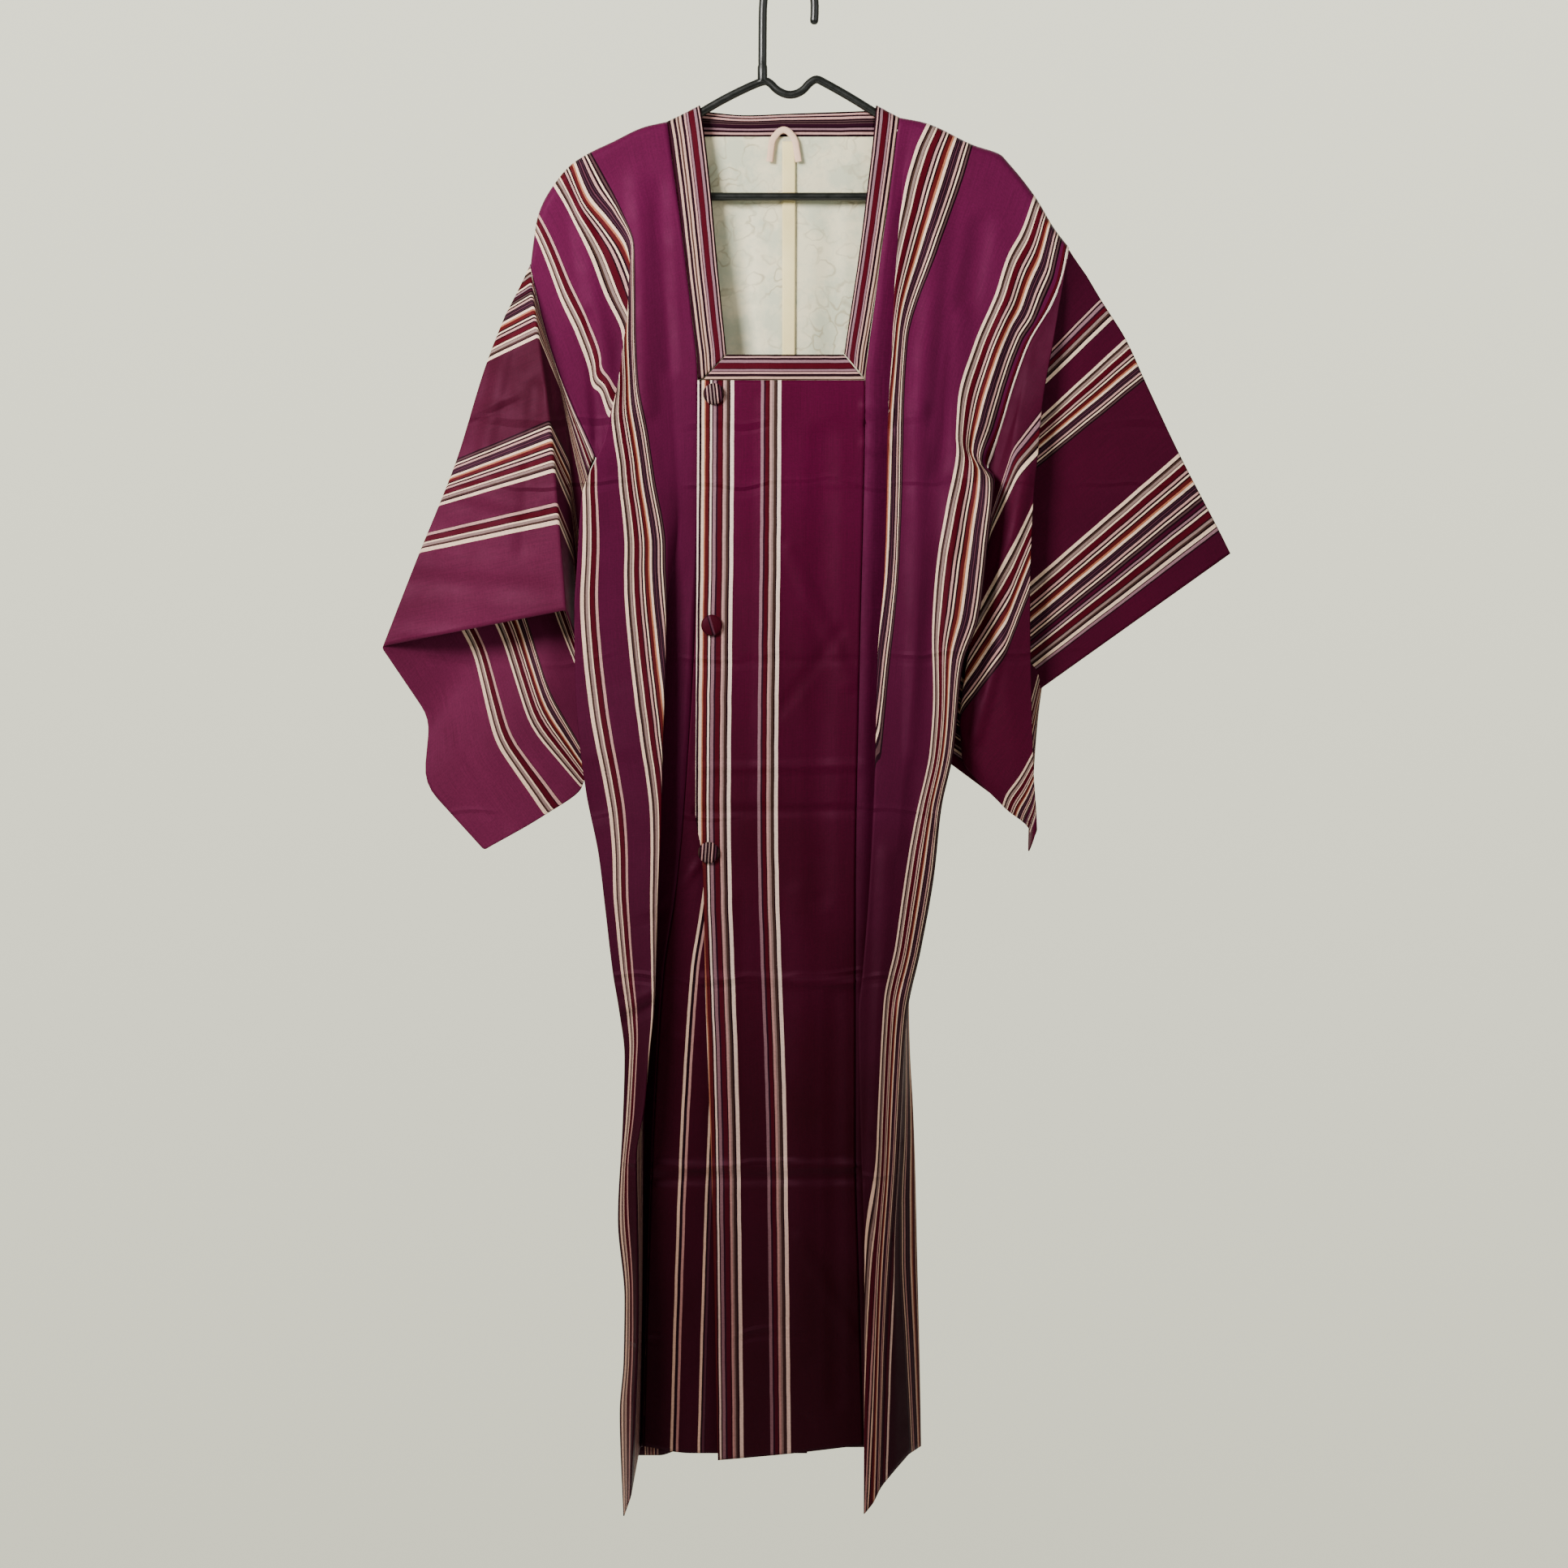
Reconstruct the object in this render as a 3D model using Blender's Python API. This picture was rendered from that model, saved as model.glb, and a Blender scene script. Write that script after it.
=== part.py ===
# Striped michiyuki coat hung on a plastic clothes hanger.
# Lengths in the tables are millimetres; the solids are made in metres, +Z up, front towards -Y.
# The origin is the inner top of the hanger's hook, where the hanger is held.

import math

import bpy

# Driving dimensions
CLOTH = 1.5
BAND = 2.0
SEAM_GAP = 1.0
BAND_GAP = 1.4
BAND_LOW = -391.0
BAND_LOW_INNER = -366.6
LEFT_BAND_TURN = 0.15
FOLD = 3.0
CREASE = 4.0
BAR_RADIUS = 4.1
HOOK_RADIUS = 25.6
HOOK_BAR = 4.3
HOOK_CENTRE_Z = -21.3
STEM_X = -26.0
BUTTON_RADIUS = 10.5
BUTTON_DEPTH = 5.0
VIEW_DISTANCE = 3000.0
VIEW_X = -5.0
VIEW_Z = -790.0
SHOULDER_ROUND = 6.0
ARMHOLE_GAP = 1.6
BODY_ROWS = 18
PANEL_ROWS = 14
PANEL_SOFTNESS = 20
BACK_HEM_Z = -1444.0
BODY_DROP = 1310.0
ROUND_FADE = 280.0
NECK_BLEND = 40.0
UNDER_SEAM_GAP = 1.3
BUTTON_STAND = 1.75
ARMPIT_DROP = 22.0
ARM_BELOW_CLOTH = 8.8
LOOP_HALF = 3.2
LOOP_WALL = 1.2
LOOP_Y = 3.1

# Shoulder line, one row per place: cloth width from the neck seam, across x, height z
SHOULDER_LEFT = [
    (0, -120, -138), (23, -142, -143), (58, -174, -158), (83, -195, -168), (105, -214, -180),
    (133, -232, -201), (155, -243, -220), (170, -248, -235), (190, -251, -254), (217, -254, -278),
]
SHOULDER_RIGHT = [
    (0, 109, -134), (25, 134, -139), (78, 182, -161), (106, 208, -170), (115, 214, -176),
    (159, 242, -211), (198, 262, -244), (217, 276, -262),
]

# Back neck line, one row per place: cloth width from the neck seam (towards the middle), x, y, z
NECK_LINE_RIGHT = [
    (-115, 0.2, 10.5, -153.5), (-57, 57, 10.5, -153.5), (-28, 88, 10, -154), (-14, 103, 9, -151.5),
    (-6, 109, 7, -142), (0, 109, 0, -134),
]
NECK_LINE_LEFT = [
    (-115, -0.2, 10.5, -153.5), (-57, -57, 10.5, -153.5), (-28, -90, 10, -154), (-14, -108, 9, -153),
    (-6, -119, 7, -146), (0, -120, 0, -138),
]

# Fold lines of the right body's front, each: cloth width at the shoulder, softness, then rows of z, x, y
RIGHT_FRONT = {
    "neck and overlap seam": (0, 0, [
        (-150, 106.5, -6.5), (-210, 99, -12), (-266, 91, -16), (-314, 85, -19), (-366, 78, -21.5),
        (-392, 75.5, -22), (-450, 75, -23), (-665, 70, -25), (-900, 66, -27), (-1138, 66, -29),
        (-1300, 70, -30), (-1442, 74, -31)]),
    "tuck": (12, FOLD, [
        (-160, 117, -6.5), (-210, 113, -9), (-266, 113, -10), (-314, 112, -11), (-366, 111, -12),
        (-435, 110, -12), (-578, 109, -12), (-666, 107, -12), (-762, 108, -12), (-822, 108, -12),
        (-898, 104, -13), (-978, 97, -13), (-1018, 95, -13), (-1138, 96, -13), (-1266, 98, -13),
        (-1446, 99, -14)]),
    "lap": (27, FOLD, [
        (-165, 124, -8), (-210, 112, -16), (-266, 106, -22), (-314, 103, -26), (-366, 101, -29),
        (-435, 97, -34), (-578, 94, -38), (-666, 87, -42), (-762, 84.8, -46), (-822, 82.4, -50),
        (-898, 78.4, -55), (-978, 72, -60), (-1018, 68, -62), (-1138, 70.4, -67), (-1266, 74.4, -70),
        (-1511, 73.6, -72)]),
    "first stripe": (76, 14, [
        (-200, 168, -8), (-266, 144, -13), (-354, 115, -24), (-419, 112, -30), (-485, 112, -35),
        (-566, 110, -38), (-618, 106, -41), (-700, 97, -44), (-762, 93, -47), (-813, 98, -50),
        (-898, 90, -55), (-1004, 79, -61), (-1138, 78, -66.5), (-1266, 79, -69), (-1505, 78.5, -71)]),
    "second stripe": (159, 16, [
        (-244, 229, -8), (-270, 214, -11), (-310, 202, -14), (-354, 183, -20), (-414, 166, -27),
        (-458, 165, -31), (-518, 153, -38), (-578, 142, -42), (-626, 139, -44), (-706, 143, -47),
        (-759, 140, -49), (-813, 128, -52), (-860, 118, -54), (-898, 112, -56), (-952, 105, -58),
        (-1004, 94, -61), (-1081, 90, -63), (-1146, 88, -66), (-1266, 86, -68), (-1498, 84, -69)]),
    "second stripe edge": (203, 8, [
        (-285, 262, -9), (-314, 251, -11), (-334, 243, -12), (-354, 230, -13), (-397, 214, -16),
        (-437, 202, -19), (-475, 190, -23), (-489, 197, -36), (-501, 198, -43), (-553, 193, -46),
        (-626, 184, -47), (-674, 168, -48), (-759, 159, -49), (-815, 147, -50), (-879, 140, -51),
        (-952, 127, -52), (-1017, 113, -56), (-1080, 108, -59), (-1163, 104, -61), (-1250, 99, -63),
        (-1330, 95, -65), (-1484, 90, -66)]),
    "turn": (210, CREASE, [
        (-290, 266, -8), (-320, 254, -10), (-354, 234, -12), (-397, 218, -15), (-437, 206, -17),
        (-475, 194, -20), (-489, 204, -32), (-501, 203, -41), (-553, 197, -44), (-626, 188, -45),
        (-674, 172, -46), (-759, 163, -46), (-815, 151, -46), (-879, 144, -46), (-952, 131, -46),
        (-1017, 117, -50), (-1080, 112, -54), (-1163, 108, -57), (-1250, 104, -58), (-1346, 105, -58),
        (-1466, 105, -56)]),
}
RIGHT_SEAM_FRONT = [
    (-290, 270, -8), (-320, 258, -10), (-354, 238, -12), (-397, 222, -14), (-437, 210, -15),
    (-475, 197, -14), (-500, 180, -13), (-530, 155, -10), (-570, 138, -7), (-620, 128, -6), (-700, 123, -5),
    (-800, 121, -5), (-880, 118, -8), (-950, 116, -18), (-1010, 113, -36), (-1058, 113, -44),
    (-1138, 111, -50), (-1208, 107, -53), (-1254, 107, -53), (-1346, 112, -50), (-1451, 118, -44),
]
RIGHT_SEAM_BACK_TOP = [(-290, 270, 7), (-320, 258, 8), (-354, 240, 9), (-397, 224, 10), (-437, 211, 4)]

# Fold lines of the right body's back, each: cloth width at the shoulder, then rows of z, x, y
RIGHT_BACK = {
    "middle seam": (-115, [
        (-200, 0.2, 12.5), (-400, 0.2, 16), (-800, 0.2, 17), (-1200, 0.2, 18), (-1443, 0.2, 20)]),
    "inner ridge": (-57, [
        (-200, 56, 13), (-300, 55, 16), (-600, 60, 20), (-1000, 62, 22), (-1443, 58, 25)]),
    "neck valley": (0, [
        (-160, 107, 9), (-200, 105, 12), (-400, 104, 15), (-700, 96, 15), (-1000, 84, 14), (-1445, 80, 12)]),
    "outer ridge": (106, [
        (-190, 202, 8), (-240, 190, 11), (-400, 160, 18), (-600, 145, 21), (-800, 128, 21), (-950, 106, 19),
        (-1100, 101, 14), (-1453, 104, 10)]),
    "rear turn": (203, [
        (-280, 258, 8), (-320, 246, 10), (-400, 213, 12), (-440, 199, 14), (-475, 188, 15), (-520, 183, 16),
        (-600, 176, 17), (-700, 160, 17), (-800, 148, 16), (-900, 134, 13), (-960, 124, 5), (-1010, 118, -12),
        (-1054, 119, -22), (-1109, 122, -27), (-1163, 124, -30), (-1250, 126, -31), (-1381, 129, -30),
        (-1443, 130, -28)]),
}

# Fold lines of the left body's front, each: cloth width at the shoulder, softness, then rows of z, x, y
LEFT_FRONT = {
    "neck and overlap seam": (0, 0, [
        (-160, -117, -7), (-250, -105, -12), (-330, -95.5, -16), (-370, -91, -17.5), (-392, -90, -18),
        (-450, -89.5, -17.5), (-600, -92, -17), (-818, -104, -17), (-898, -112, -17), (-978, -124, -18),
        (-1137, -134, -18), (-1300, -140, -19), (-1443, -144, -20)]),
    "tuck": (42, FOLD, [
        (-170, -155, -7), (-250, -134, -12), (-347, -119, -16), (-444, -113, -17), (-526, -109, -18.5),
        (-570, -113, -18), (-610, -128, -13), (-657, -142, -9), (-738, -148, -8), (-818, -148, -8),
        (-900, -146, -8), (-958, -144, -8), (-1060, -143, -8), (-1250, -144, -8), (-1444, -147, -8)]),
    "lap": (83, FOLD, [
        (-191, -182, -8), (-222, -166, -10), (-262, -152, -12), (-347, -151, -18), (-390, -149, -20),
        (-444, -139, -24), (-490, -132, -26), (-558, -121, -30), (-657, -121, -37), (-760, -124, -44),
        (-842, -126, -47), (-904, -129, -49), (-1003, -132, -52), (-1060, -138, -54), (-1106, -142, -55),
        (-1163, -151, -57), (-1234, -150, -60), (-1300, -149, -63), (-1493, -156, -75)]),
    "ridge": (96, FOLD, [
        (-205, -193, -9), (-230, -173, -11), (-262, -156, -13), (-290, -158, -18), (-329, -160, -22),
        (-356, -164, -25), (-399, -170, -30), (-430, -178, -32), (-454, -184, -34), (-483, -197, -37),
        (-506, -205, -38), (-578, -210, -38), (-619, -212.5, -37), (-674, -212, -35), (-722, -210, -34),
        (-797, -201, -34), (-861, -188, -35), (-910, -182, -36), (-978, -174, -37), (-1013, -168, -38),
        (-1060, -162, -39), (-1125, -164, -40), (-1220, -169, -42), (-1299, -162, -43), (-1361, -163, -44),
        (-1411, -167, -46), (-1513, -163, -48)]),
    "pocket": (104, FOLD, [
        (-212, -201, -8.5), (-240, -178, -10), (-265, -161, -10.5), (-290, -152, -9.5), (-320, -147, -9.5),
        (-350, -146, -11), (-400, -147, -14), (-454, -158, -19), (-483, -172, -22), (-520, -184, -24),
        (-600, -192, -20), (-700, -192, -18), (-800, -186, -18), (-900, -173, -18), (-1013, -160, -22),
        (-1100, -159, -26), (-1299, -159, -28), (-1495, -160, -34)]),
    "under stripe": (133, 10, [
        (-222, -219, -8), (-264, -199, -8), (-306, -184, -8), (-350, -165, -8), (-399, -172, -9.5),
        (-430, -180, -10.5), (-454, -184, -12), (-483, -180, -16), (-520, -178, -18), (-600, -186, -15),
        (-700, -186, -13), (-800, -181, -12), (-900, -170, -12), (-1013, -158, -14), (-1100, -157, -17),
        (-1299, -157.5, -18), (-1478, -157, -22)]),
    "narrow stripe": (173, 10, [
        (-264, -236, -8), (-306, -219, -8), (-340, -202, -8), (-382, -190, -9), (-420, -192, -10),
        (-454, -189, -11), (-483, -180, -13), (-520, -174, -14), (-600, -180, -11), (-700, -180.5, -9.5),
        (-800, -176.5, -8.5), (-900, -167, -8), (-1013, -156.5, -8), (-1100, -156, -9), (-1299, -156, -10),
        (-1464, -155, -11)]),
}
LEFT_SEAM_FRONT = [
    (-290, -252.5, -8), (-320, -246, -8), (-370, -232, -9), (-420, -212, -10), (-450, -198, -10),
    (-466, -191, -9), (-500, -178, -9), (-540, -171, -9), (-600, -175, -7), (-700, -176, -6),
    (-800, -173, -5), (-900, -165, -4), (-1013, -155.5, -3), (-1100, -155, -3), (-1299, -155, -2),
    (-1452, -153, -1),
]
LEFT_SEAM_BACK_TOP = [(-290, -252.5, 7), (-320, -246, 8), (-370, -233, 9), (-420, -214, 9), (-450, -199, 3)]

# Fold lines of the left body's back, each: cloth width at the shoulder, then rows of z, x, y
LEFT_BACK = {
    "middle seam": (-115, [
        (-200, -0.2, 12.5), (-400, -0.2, 16), (-800, -0.2, 17), (-1200, -0.2, 18), (-1443, -0.2, 20)]),
    "inner ridge": (-57, [
        (-200, -56, 13), (-300, -58, 17), (-600, -66, 21), (-1000, -72, 24), (-1444, -68, 26)]),
    "neck valley": (0, [
        (-165, -118, 9), (-200, -116, 12), (-400, -118, 15), (-700, -118, 14), (-1000, -104, 14),
        (-1445, -100, 13)]),
    "outer ridge": (100, [
        (-195, -204, 8), (-240, -194, 11), (-400, -172, 18), (-600, -166, 21), (-800, -160, 21),
        (-950, -140, 20), (-1100, -130, 20), (-1452, -128, 20)]),
    "rear turn": (185, [
        (-275, -241, 8), (-320, -230, 10), (-400, -206, 12), (-466, -190, 14), (-520, -185, 16),
        (-600, -186, 17), (-700, -186, 17), (-800, -180, 17), (-900, -169, 17), (-1013, -157, 16),
        (-1100, -154, 15), (-1299, -153, 15), (-1452, -150, 15)]),
}

# Overlap panels, rows of z, x, y
TOP_PANEL_EDGE = [
    (-392.5, -90, -22.5), (-600, -91, -24), (-818, -92, -25.5), (-866, -85, -26), (-1005, -82, -27),
    (-1088, -79, -27.5), (-1180, -76, -28.5), (-1457, -70, -32),
]
TOP_PANEL_MIDDLE = [
    (-392.5, -10, -23.5), (-600, -10, -26), (-818, -12, -27), (-1005, -10, -28.5), (-1180, -6, -29),
    (-1451, -4, -33),
]
UNDER_PANEL_MIDDLE = [
    (-392.5, -50, -16), (-818, -60, -17), (-898, -66, -17.5), (-1137, -84, -18), (-1450, -92, -22),
]
UNDER_PANEL_EDGE = [
    (-392.5, 60, -14.5), (-818, 52, -15), (-1137, 26, -16), (-1450, 18, -18),
]

# Neck frame, rows of z, x, y from the shoulder down
BAND_RIGHT_INNER = [
    (-122, 86, -6), (-140, 84.5, -7.5), (-210, 76.5, -12.5), (-266, 69.5, -16.5), (-367, 54.5, -21),
]
BAND_LEFT_INNER = [
    (-122, -87.5, -6), (-140, -84.5, -7.5), (-210, -76.5, -11.5), (-266, -71.5, -14), (-367, -61.5, -18),
]

# Sleeves, one table per fold of the sleeve's girth, rows of u along the arm, x, y, z
SLEEVE_RIGHT = {
    "top fold": (5, 1, 2, [
        (0, 279.5, 0, -262), (56, 309, 0, -312), (102, 333, 0, -350), (147, 352, 0, -391),
        (230, 386, 0, -463), (313, 426, 0, -540), (340, 437, 0, -562)]),
    "valley": (FOLD, 3, 1, [
        (0, 278, -6, -273), (56, 240, -11, -382), (77, 232, -12, -415), (102, 214, -13, -460),
        (147, 178, -13, -533), (230, 152, -14, -666), (313, 148, -14, -751), (340, 152, -14, -765)]),
    "mountain": (FOLD, 3, 1, [
        (0, 275, -9, -284), (56, 249, -24, -425), (77, 246, -25, -463), (102, 241, -25, -513),
        (147, 238, -26, -602), (230, 241, -26, -758), (313, 244, -24, -818), (340, 245, -20, -834)]),
    "inner upper": (8, 1, 1, [
        (0, 242, -13, -354), (56, 221, -20, -461), (77, 226, -22, -485), (102, 222, -21, -552),
        (147, 213, -20, -666), (230, 228, -20, -782), (313, 243, -19, -827), (340, 242, -17, -843)]),
    "inner lower": (8, 1, 1, [
        (0, 201, -12, -478), (56, 203, -16, -528), (77, 203, -16, -545), (102, 194, -15, -624),
        (147, 180, -12, -724), (230, 220, -12, -798), (313, 241, -12, -833), (340, 239, -12, -850)]),
    "bottom": (4, 3, 1, [
        (0, 184, -1, -728), (56, 180, -1, -734), (102, 170, -1, -742), (147, 171, -1, -758),
        (230, 214, -2, -806), (313, 239, -3, -837), (340, 236, -4, -856)]),
    "back": (20, 1, 2, [
        (0, 219, 13, -425), (56, 243, 12, -530), (102, 250, 11, -548), (147, 262, 10, -575),
        (230, 268, 10, -600), (313, 246, 10, -668), (340, 240, 10, -690)]),
}
SLEEVE_LEFT = {
    "crease": (FOLD, 3, 2, [
        (0, -258.5, -6, -272), (79, -247, -30, -350), (161, -236, -40, -432), (214, -231, -43, -483),
        (264, -227, -45, -534), (348, -220, -48, -619)]),
    "outer turn": (5, 3, 1, [
        (0, -260, 2, -279), (79, -299, -13, -375), (161, -329, -17, -471), (214, -347, -18, -517),
        (264, -366, -18, -563), (348, -402, -18, -655)]),
    "under flap": (16, 1, 1, [
        (0, -236, 9, -375), (79, -254, -5, -535), (161, -262, -7, -615), (214, -283, -7, -646),
        (264, -311, -7, -660), (348, -354, -7, -726)]),
    "under bulge": (20, 1, 1, [
        (0, -216, 7, -510), (79, -232, -1, -620), (161, -236, -3, -700), (214, -255, -4, -735),
        (264, -290, -5, -750), (348, -360, -6, -790)]),
    "bottom": (4, 3, 1, [
        (0, -203, 4, -620), (79, -203, 3, -692), (161, -198, 2, -765), (214, -204, 0, -795),
        (264, -240, -2, -822), (348, -300, -4, -856)]),
    "rear wall": (10, 1, 1, [
        (0, -199, 0, -540), (79, -198, 8, -600), (161, -197, 11, -670), (214, -199, 13, -700),
        (264, -212, 12, -740), (348, -240, 12, -790)]),
    "armpit": (10, 1, 2, [
        (0, -195.5, -7, -473), (79, -201, -4, -515), (161, -203, 2, -575), (214, -204, 5, -615),
        (264, -206, 6, -660), (348, -208, 6, -725)]),
    "shaded face": (5, 1, 1, [
        (0, -234.5, -9, -370), (79, -226, -14, -400), (161, -217, -16, -470), (214, -215, -16, -520),
        (264, -212.5, -16, -570), (348, -209, -16, -650)]),
}

# Buttons, x and z of each centre
BUTTON_PLACES = [(-74, -406), (-76, -634), (-79, -858)]


# Clear the scene
for thing in list(bpy.data.objects):
    bpy.data.objects.remove(thing, do_unlink=True)


# Smooth reading of a table: no overshoot between rows
def slopes(keys, values):
    steps = [(values[i + 1] - values[i]) / (keys[i + 1] - keys[i]) for i in range(len(keys) - 1)]
    result = [steps[0]]
    for before, after in zip(steps, steps[1:]):
        if before * after <= 0.0:
            result.append(0.0)
        else:
            result.append(2.0 * before * after / (before + after))
    result.append(steps[-1])
    return result


def reader(table):
    rows = sorted(table)
    keys = [row[0] for row in rows]
    tracks = []
    for index in range(1, len(rows[0])):
        values = [row[index] for row in rows]
        tracks.append((values, slopes(keys, values)))

    def read(key):
        key = min(max(key, keys[0]), keys[-1])
        place = 0
        while place < len(keys) - 2 and key > keys[place + 1]:
            place += 1
        span = keys[place + 1] - keys[place]
        t = (key - keys[place]) / span
        result = []
        for values, slope in tracks:
            result.append(
                (2 * t**3 - 3 * t**2 + 1) * values[place] + (t**3 - 2 * t**2 + t) * span * slope[place]
                + (3 * t**2 - 2 * t**3) * values[place + 1] + (t**3 - t**2) * span * slope[place + 1])
        return result

    return read


# The tables are read from the front view, so nearer cloth is drawn together a little
def seen(x, y, z):
    scale = (VIEW_DISTANCE + y) / VIEW_DISTANCE
    return (VIEW_X + (x - VIEW_X) * scale, y, VIEW_Z + (z - VIEW_Z) * scale)


def mix(a, b, t):
    return tuple(p + (q - p) * t for p, q in zip(a, b))


def length(a, b):
    return math.sqrt(sum((p - q)**2 for p, q in zip(a[:3], b[:3])))


# A section through named folds: each corner is rounded by its softness and read at a few steps
def section(corners, softness, steps, between, closed=False):
    count = len(corners)
    result = []
    starts = []
    ends = []
    for index in range(count):
        here = corners[index]
        if not closed and index in (0, count - 1):
            starts.append(here)
            ends.append(here)
            continue
        before = corners[index - 1]
        after = corners[(index + 1) % count]
        starts.append(mix(here, before, min(softness[index] / max(length(here, before), 1e-6), 0.45)))
        ends.append(mix(here, after, min(softness[index] / max(length(here, after), 1e-6), 0.45)))
    for index in range(count):
        if not closed and index in (0, count - 1):
            result.append(corners[index])
        elif steps[index] == 1:
            result.append(mix(mix(starts[index], ends[index], 0.5), corners[index], 0.5))
        else:
            for step in range(steps[index]):
                t = step / (steps[index] - 1)
                first = mix(starts[index], corners[index], t)
                second = mix(corners[index], ends[index], t)
                result.append(mix(first, second, t))
        if not closed and index == count - 1:
            break
        following = starts[(index + 1) % count]
        for step in range(between[index]):
            result.append(mix(ends[index], following, (step + 1) / (between[index] + 1)))
    return result


# Rows down the body: three close rows round the shoulder, then even ones
def row_depth(row, rows, drop):
    close = (0.0, 1.5, 4.5, 10.0)
    if row < len(close):
        return close[row]
    share = (row - len(close) + 1) / (rows - len(close))
    return close[-1] + (drop - close[-1]) * share


def over_bar(depth):
    rest = 1.0 - min(depth, SHOULDER_ROUND) / SHOULDER_ROUND
    return math.sqrt(1.0 - rest * rest)


def fold_line(top, table):
    first = table[0]
    rows = [(top[2], top[0], first[2])] + list(table)
    read = reader(rows)
    hem = table[-1][0]

    def at(row, rows_total):
        depth = row_depth(row, rows_total, top[2] - hem)
        z = top[2] - depth
        x, y = read(z)
        return (x, y * over_bar(depth) if top[1] == 0 else y, z)

    return at


def grid_object(name, grid, thickness, material, close_girth=False, extra=None):
    rows = len(grid)
    vertices = []
    faces = []
    for block in [grid] + (extra or []):
        offset = len(vertices)
        across = len(block[0])
        for line in block:
            vertices.extend(tuple(v / 1000.0 for v in seen(*point[:3])) for point in line)
        for row in range(len(block) - 1):
            for place in range(across if close_girth else across - 1):
                after = (place + 1) % across
                faces.append((
                    offset + row * across + place, offset + row * across + after,
                    offset + (row + 1) * across + after, offset + (row + 1) * across + place))
    mesh = bpy.data.meshes.new(name)
    mesh.from_pydata(vertices, [], faces)
    thing = bpy.data.objects.new(name, mesh)
    bpy.context.scene.collection.objects.link(thing)
    finish(thing, material, thickness)


def finish(thing, material, thickness):
    bpy.ops.object.select_all(action="DESELECT")
    bpy.context.view_layer.objects.active = thing
    thing.select_set(True)
    bpy.ops.object.mode_set(mode="EDIT")
    bpy.ops.mesh.select_all(action="SELECT")
    bpy.ops.mesh.remove_doubles(threshold=0.00005)
    bpy.ops.mesh.normals_make_consistent(inside=False)
    bpy.ops.object.mode_set(mode="OBJECT")
    if thickness:
        wall = thing.modifiers.new("cloth wall", "SOLIDIFY")
        wall.thickness = thickness / 1000.0
        wall.offset = 0.0
        wall.use_even_offset = False
        bpy.ops.object.modifier_apply(modifier=wall.name)
        bpy.ops.object.mode_set(mode="EDIT")
        bpy.ops.mesh.select_all(action="SELECT")
        bpy.ops.mesh.normals_make_consistent(inside=False)
        bpy.ops.object.mode_set(mode="OBJECT")
    thing.data.materials.append(material)


def material(name, colour, roughness):
    made = bpy.data.materials.new(name)
    made.use_nodes = True
    shader = made.node_tree.nodes["Principled BSDF"]
    shader.inputs["Base Color"].default_value = (*colour, 1.0)
    shader.inputs["Roughness"].default_value = roughness
    return made


# Between two fold lines the cloth keeps the shoulder's round, fading out on the way down
def eased(point, lift, row):
    fade = max(0.0, 1.0 - row_depth(row, BODY_ROWS, BODY_DROP) / ROUND_FADE)
    return (point[0] + lift[0] * fade, point[1], point[2] + lift[2] * fade)


# A body half: front and back in one cloth over the shoulder, joined again below the armpit
def body(name, front, back, shoulder_table, neck_table, seam_front, seam_back_top, colour):
    shoulder = reader(shoulder_table)
    neck = reader(neck_table)

    def top_of(s):
        if s >= 0:
            x, z = shoulder(s)
            return (x, 0.0, z)
        x, y, z = neck(s)
        return (x, y, z)

    tip = top_of(217)
    front_lines = [fold_line(top_of(s), table) for s, soft, table in front.values()]
    front_lines.append(fold_line(tip, seam_front))
    softness = [soft for s, soft, table in front.values()] + [0]
    tops = [s for s, soft, table in front.values()] + [217]
    steps = [3 if soft in (FOLD, CREASE) else 1 for soft in softness]
    between = [2 if tops[i + 1] - tops[i] > 40 else 1 if tops[i + 1] - tops[i] > 18 else 0
               for i in range(len(tops) - 1)]
    corners = [(*top_of(s), s) for s in tops]
    top_line = section(corners, softness, steps, between)
    widths = [point[3] for point in top_line]
    bulge = [tuple(p - q for p, q in zip(top_of(s), point)) for s, point in zip(widths, top_line)]
    front_grid = [[top_of(s) for s in widths]]
    for row in range(1, BODY_ROWS):
        places = [line(row, BODY_ROWS) for line in front_lines]
        line = section(places, softness, steps, between)
        front_grid.append([eased(point, lift, row) for point, lift in zip(line, bulge)])

    seam_back = seam_back_top + [entry for entry in seam_front if entry[0] < seam_back_top[-1][0]]
    back_lines = [(s, fold_line(top_of(s), table)) for s, table in back.values()]
    back_lines.append((217, fold_line(tip, seam_back)))
    back_widths = [-115, -86, -57, -42, -28, -14, -6] + widths
    across_top = reader([(s, *top_of(s)) for s, line in back_lines])
    back_grid = [[top_of(s) for s in back_widths]]
    for row in range(1, BODY_ROWS):
        across = reader([(s, *line(row, BODY_ROWS)) for s, line in back_lines])
        line = []
        for s in back_widths:
            x, y, z = across(s)
            if s < 0:
                start = top_of(s)
                depth = row_depth(row, BODY_ROWS, start[2] - BACK_HEM_Z)
                z = start[2] - depth
                blend = min(depth / NECK_BLEND, 1.0)
                x = start[0] + (x - start[0]) * blend
                y = start[1] + (y - start[1]) * blend
                line.append((x, y, z))
            else:
                lift = tuple(p - q for p, q in zip(top_of(s), across_top(s)))
                line.append(eased((x, y, z), lift, row))
        line[-1] = front_grid[row][-1] if line[-1][2] < seam_back_top[-1][0] - 30 else line[-1]
        back_grid.append(line)
    grid_object(name, front_grid, CLOTH, colour, extra=[back_grid])


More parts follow.
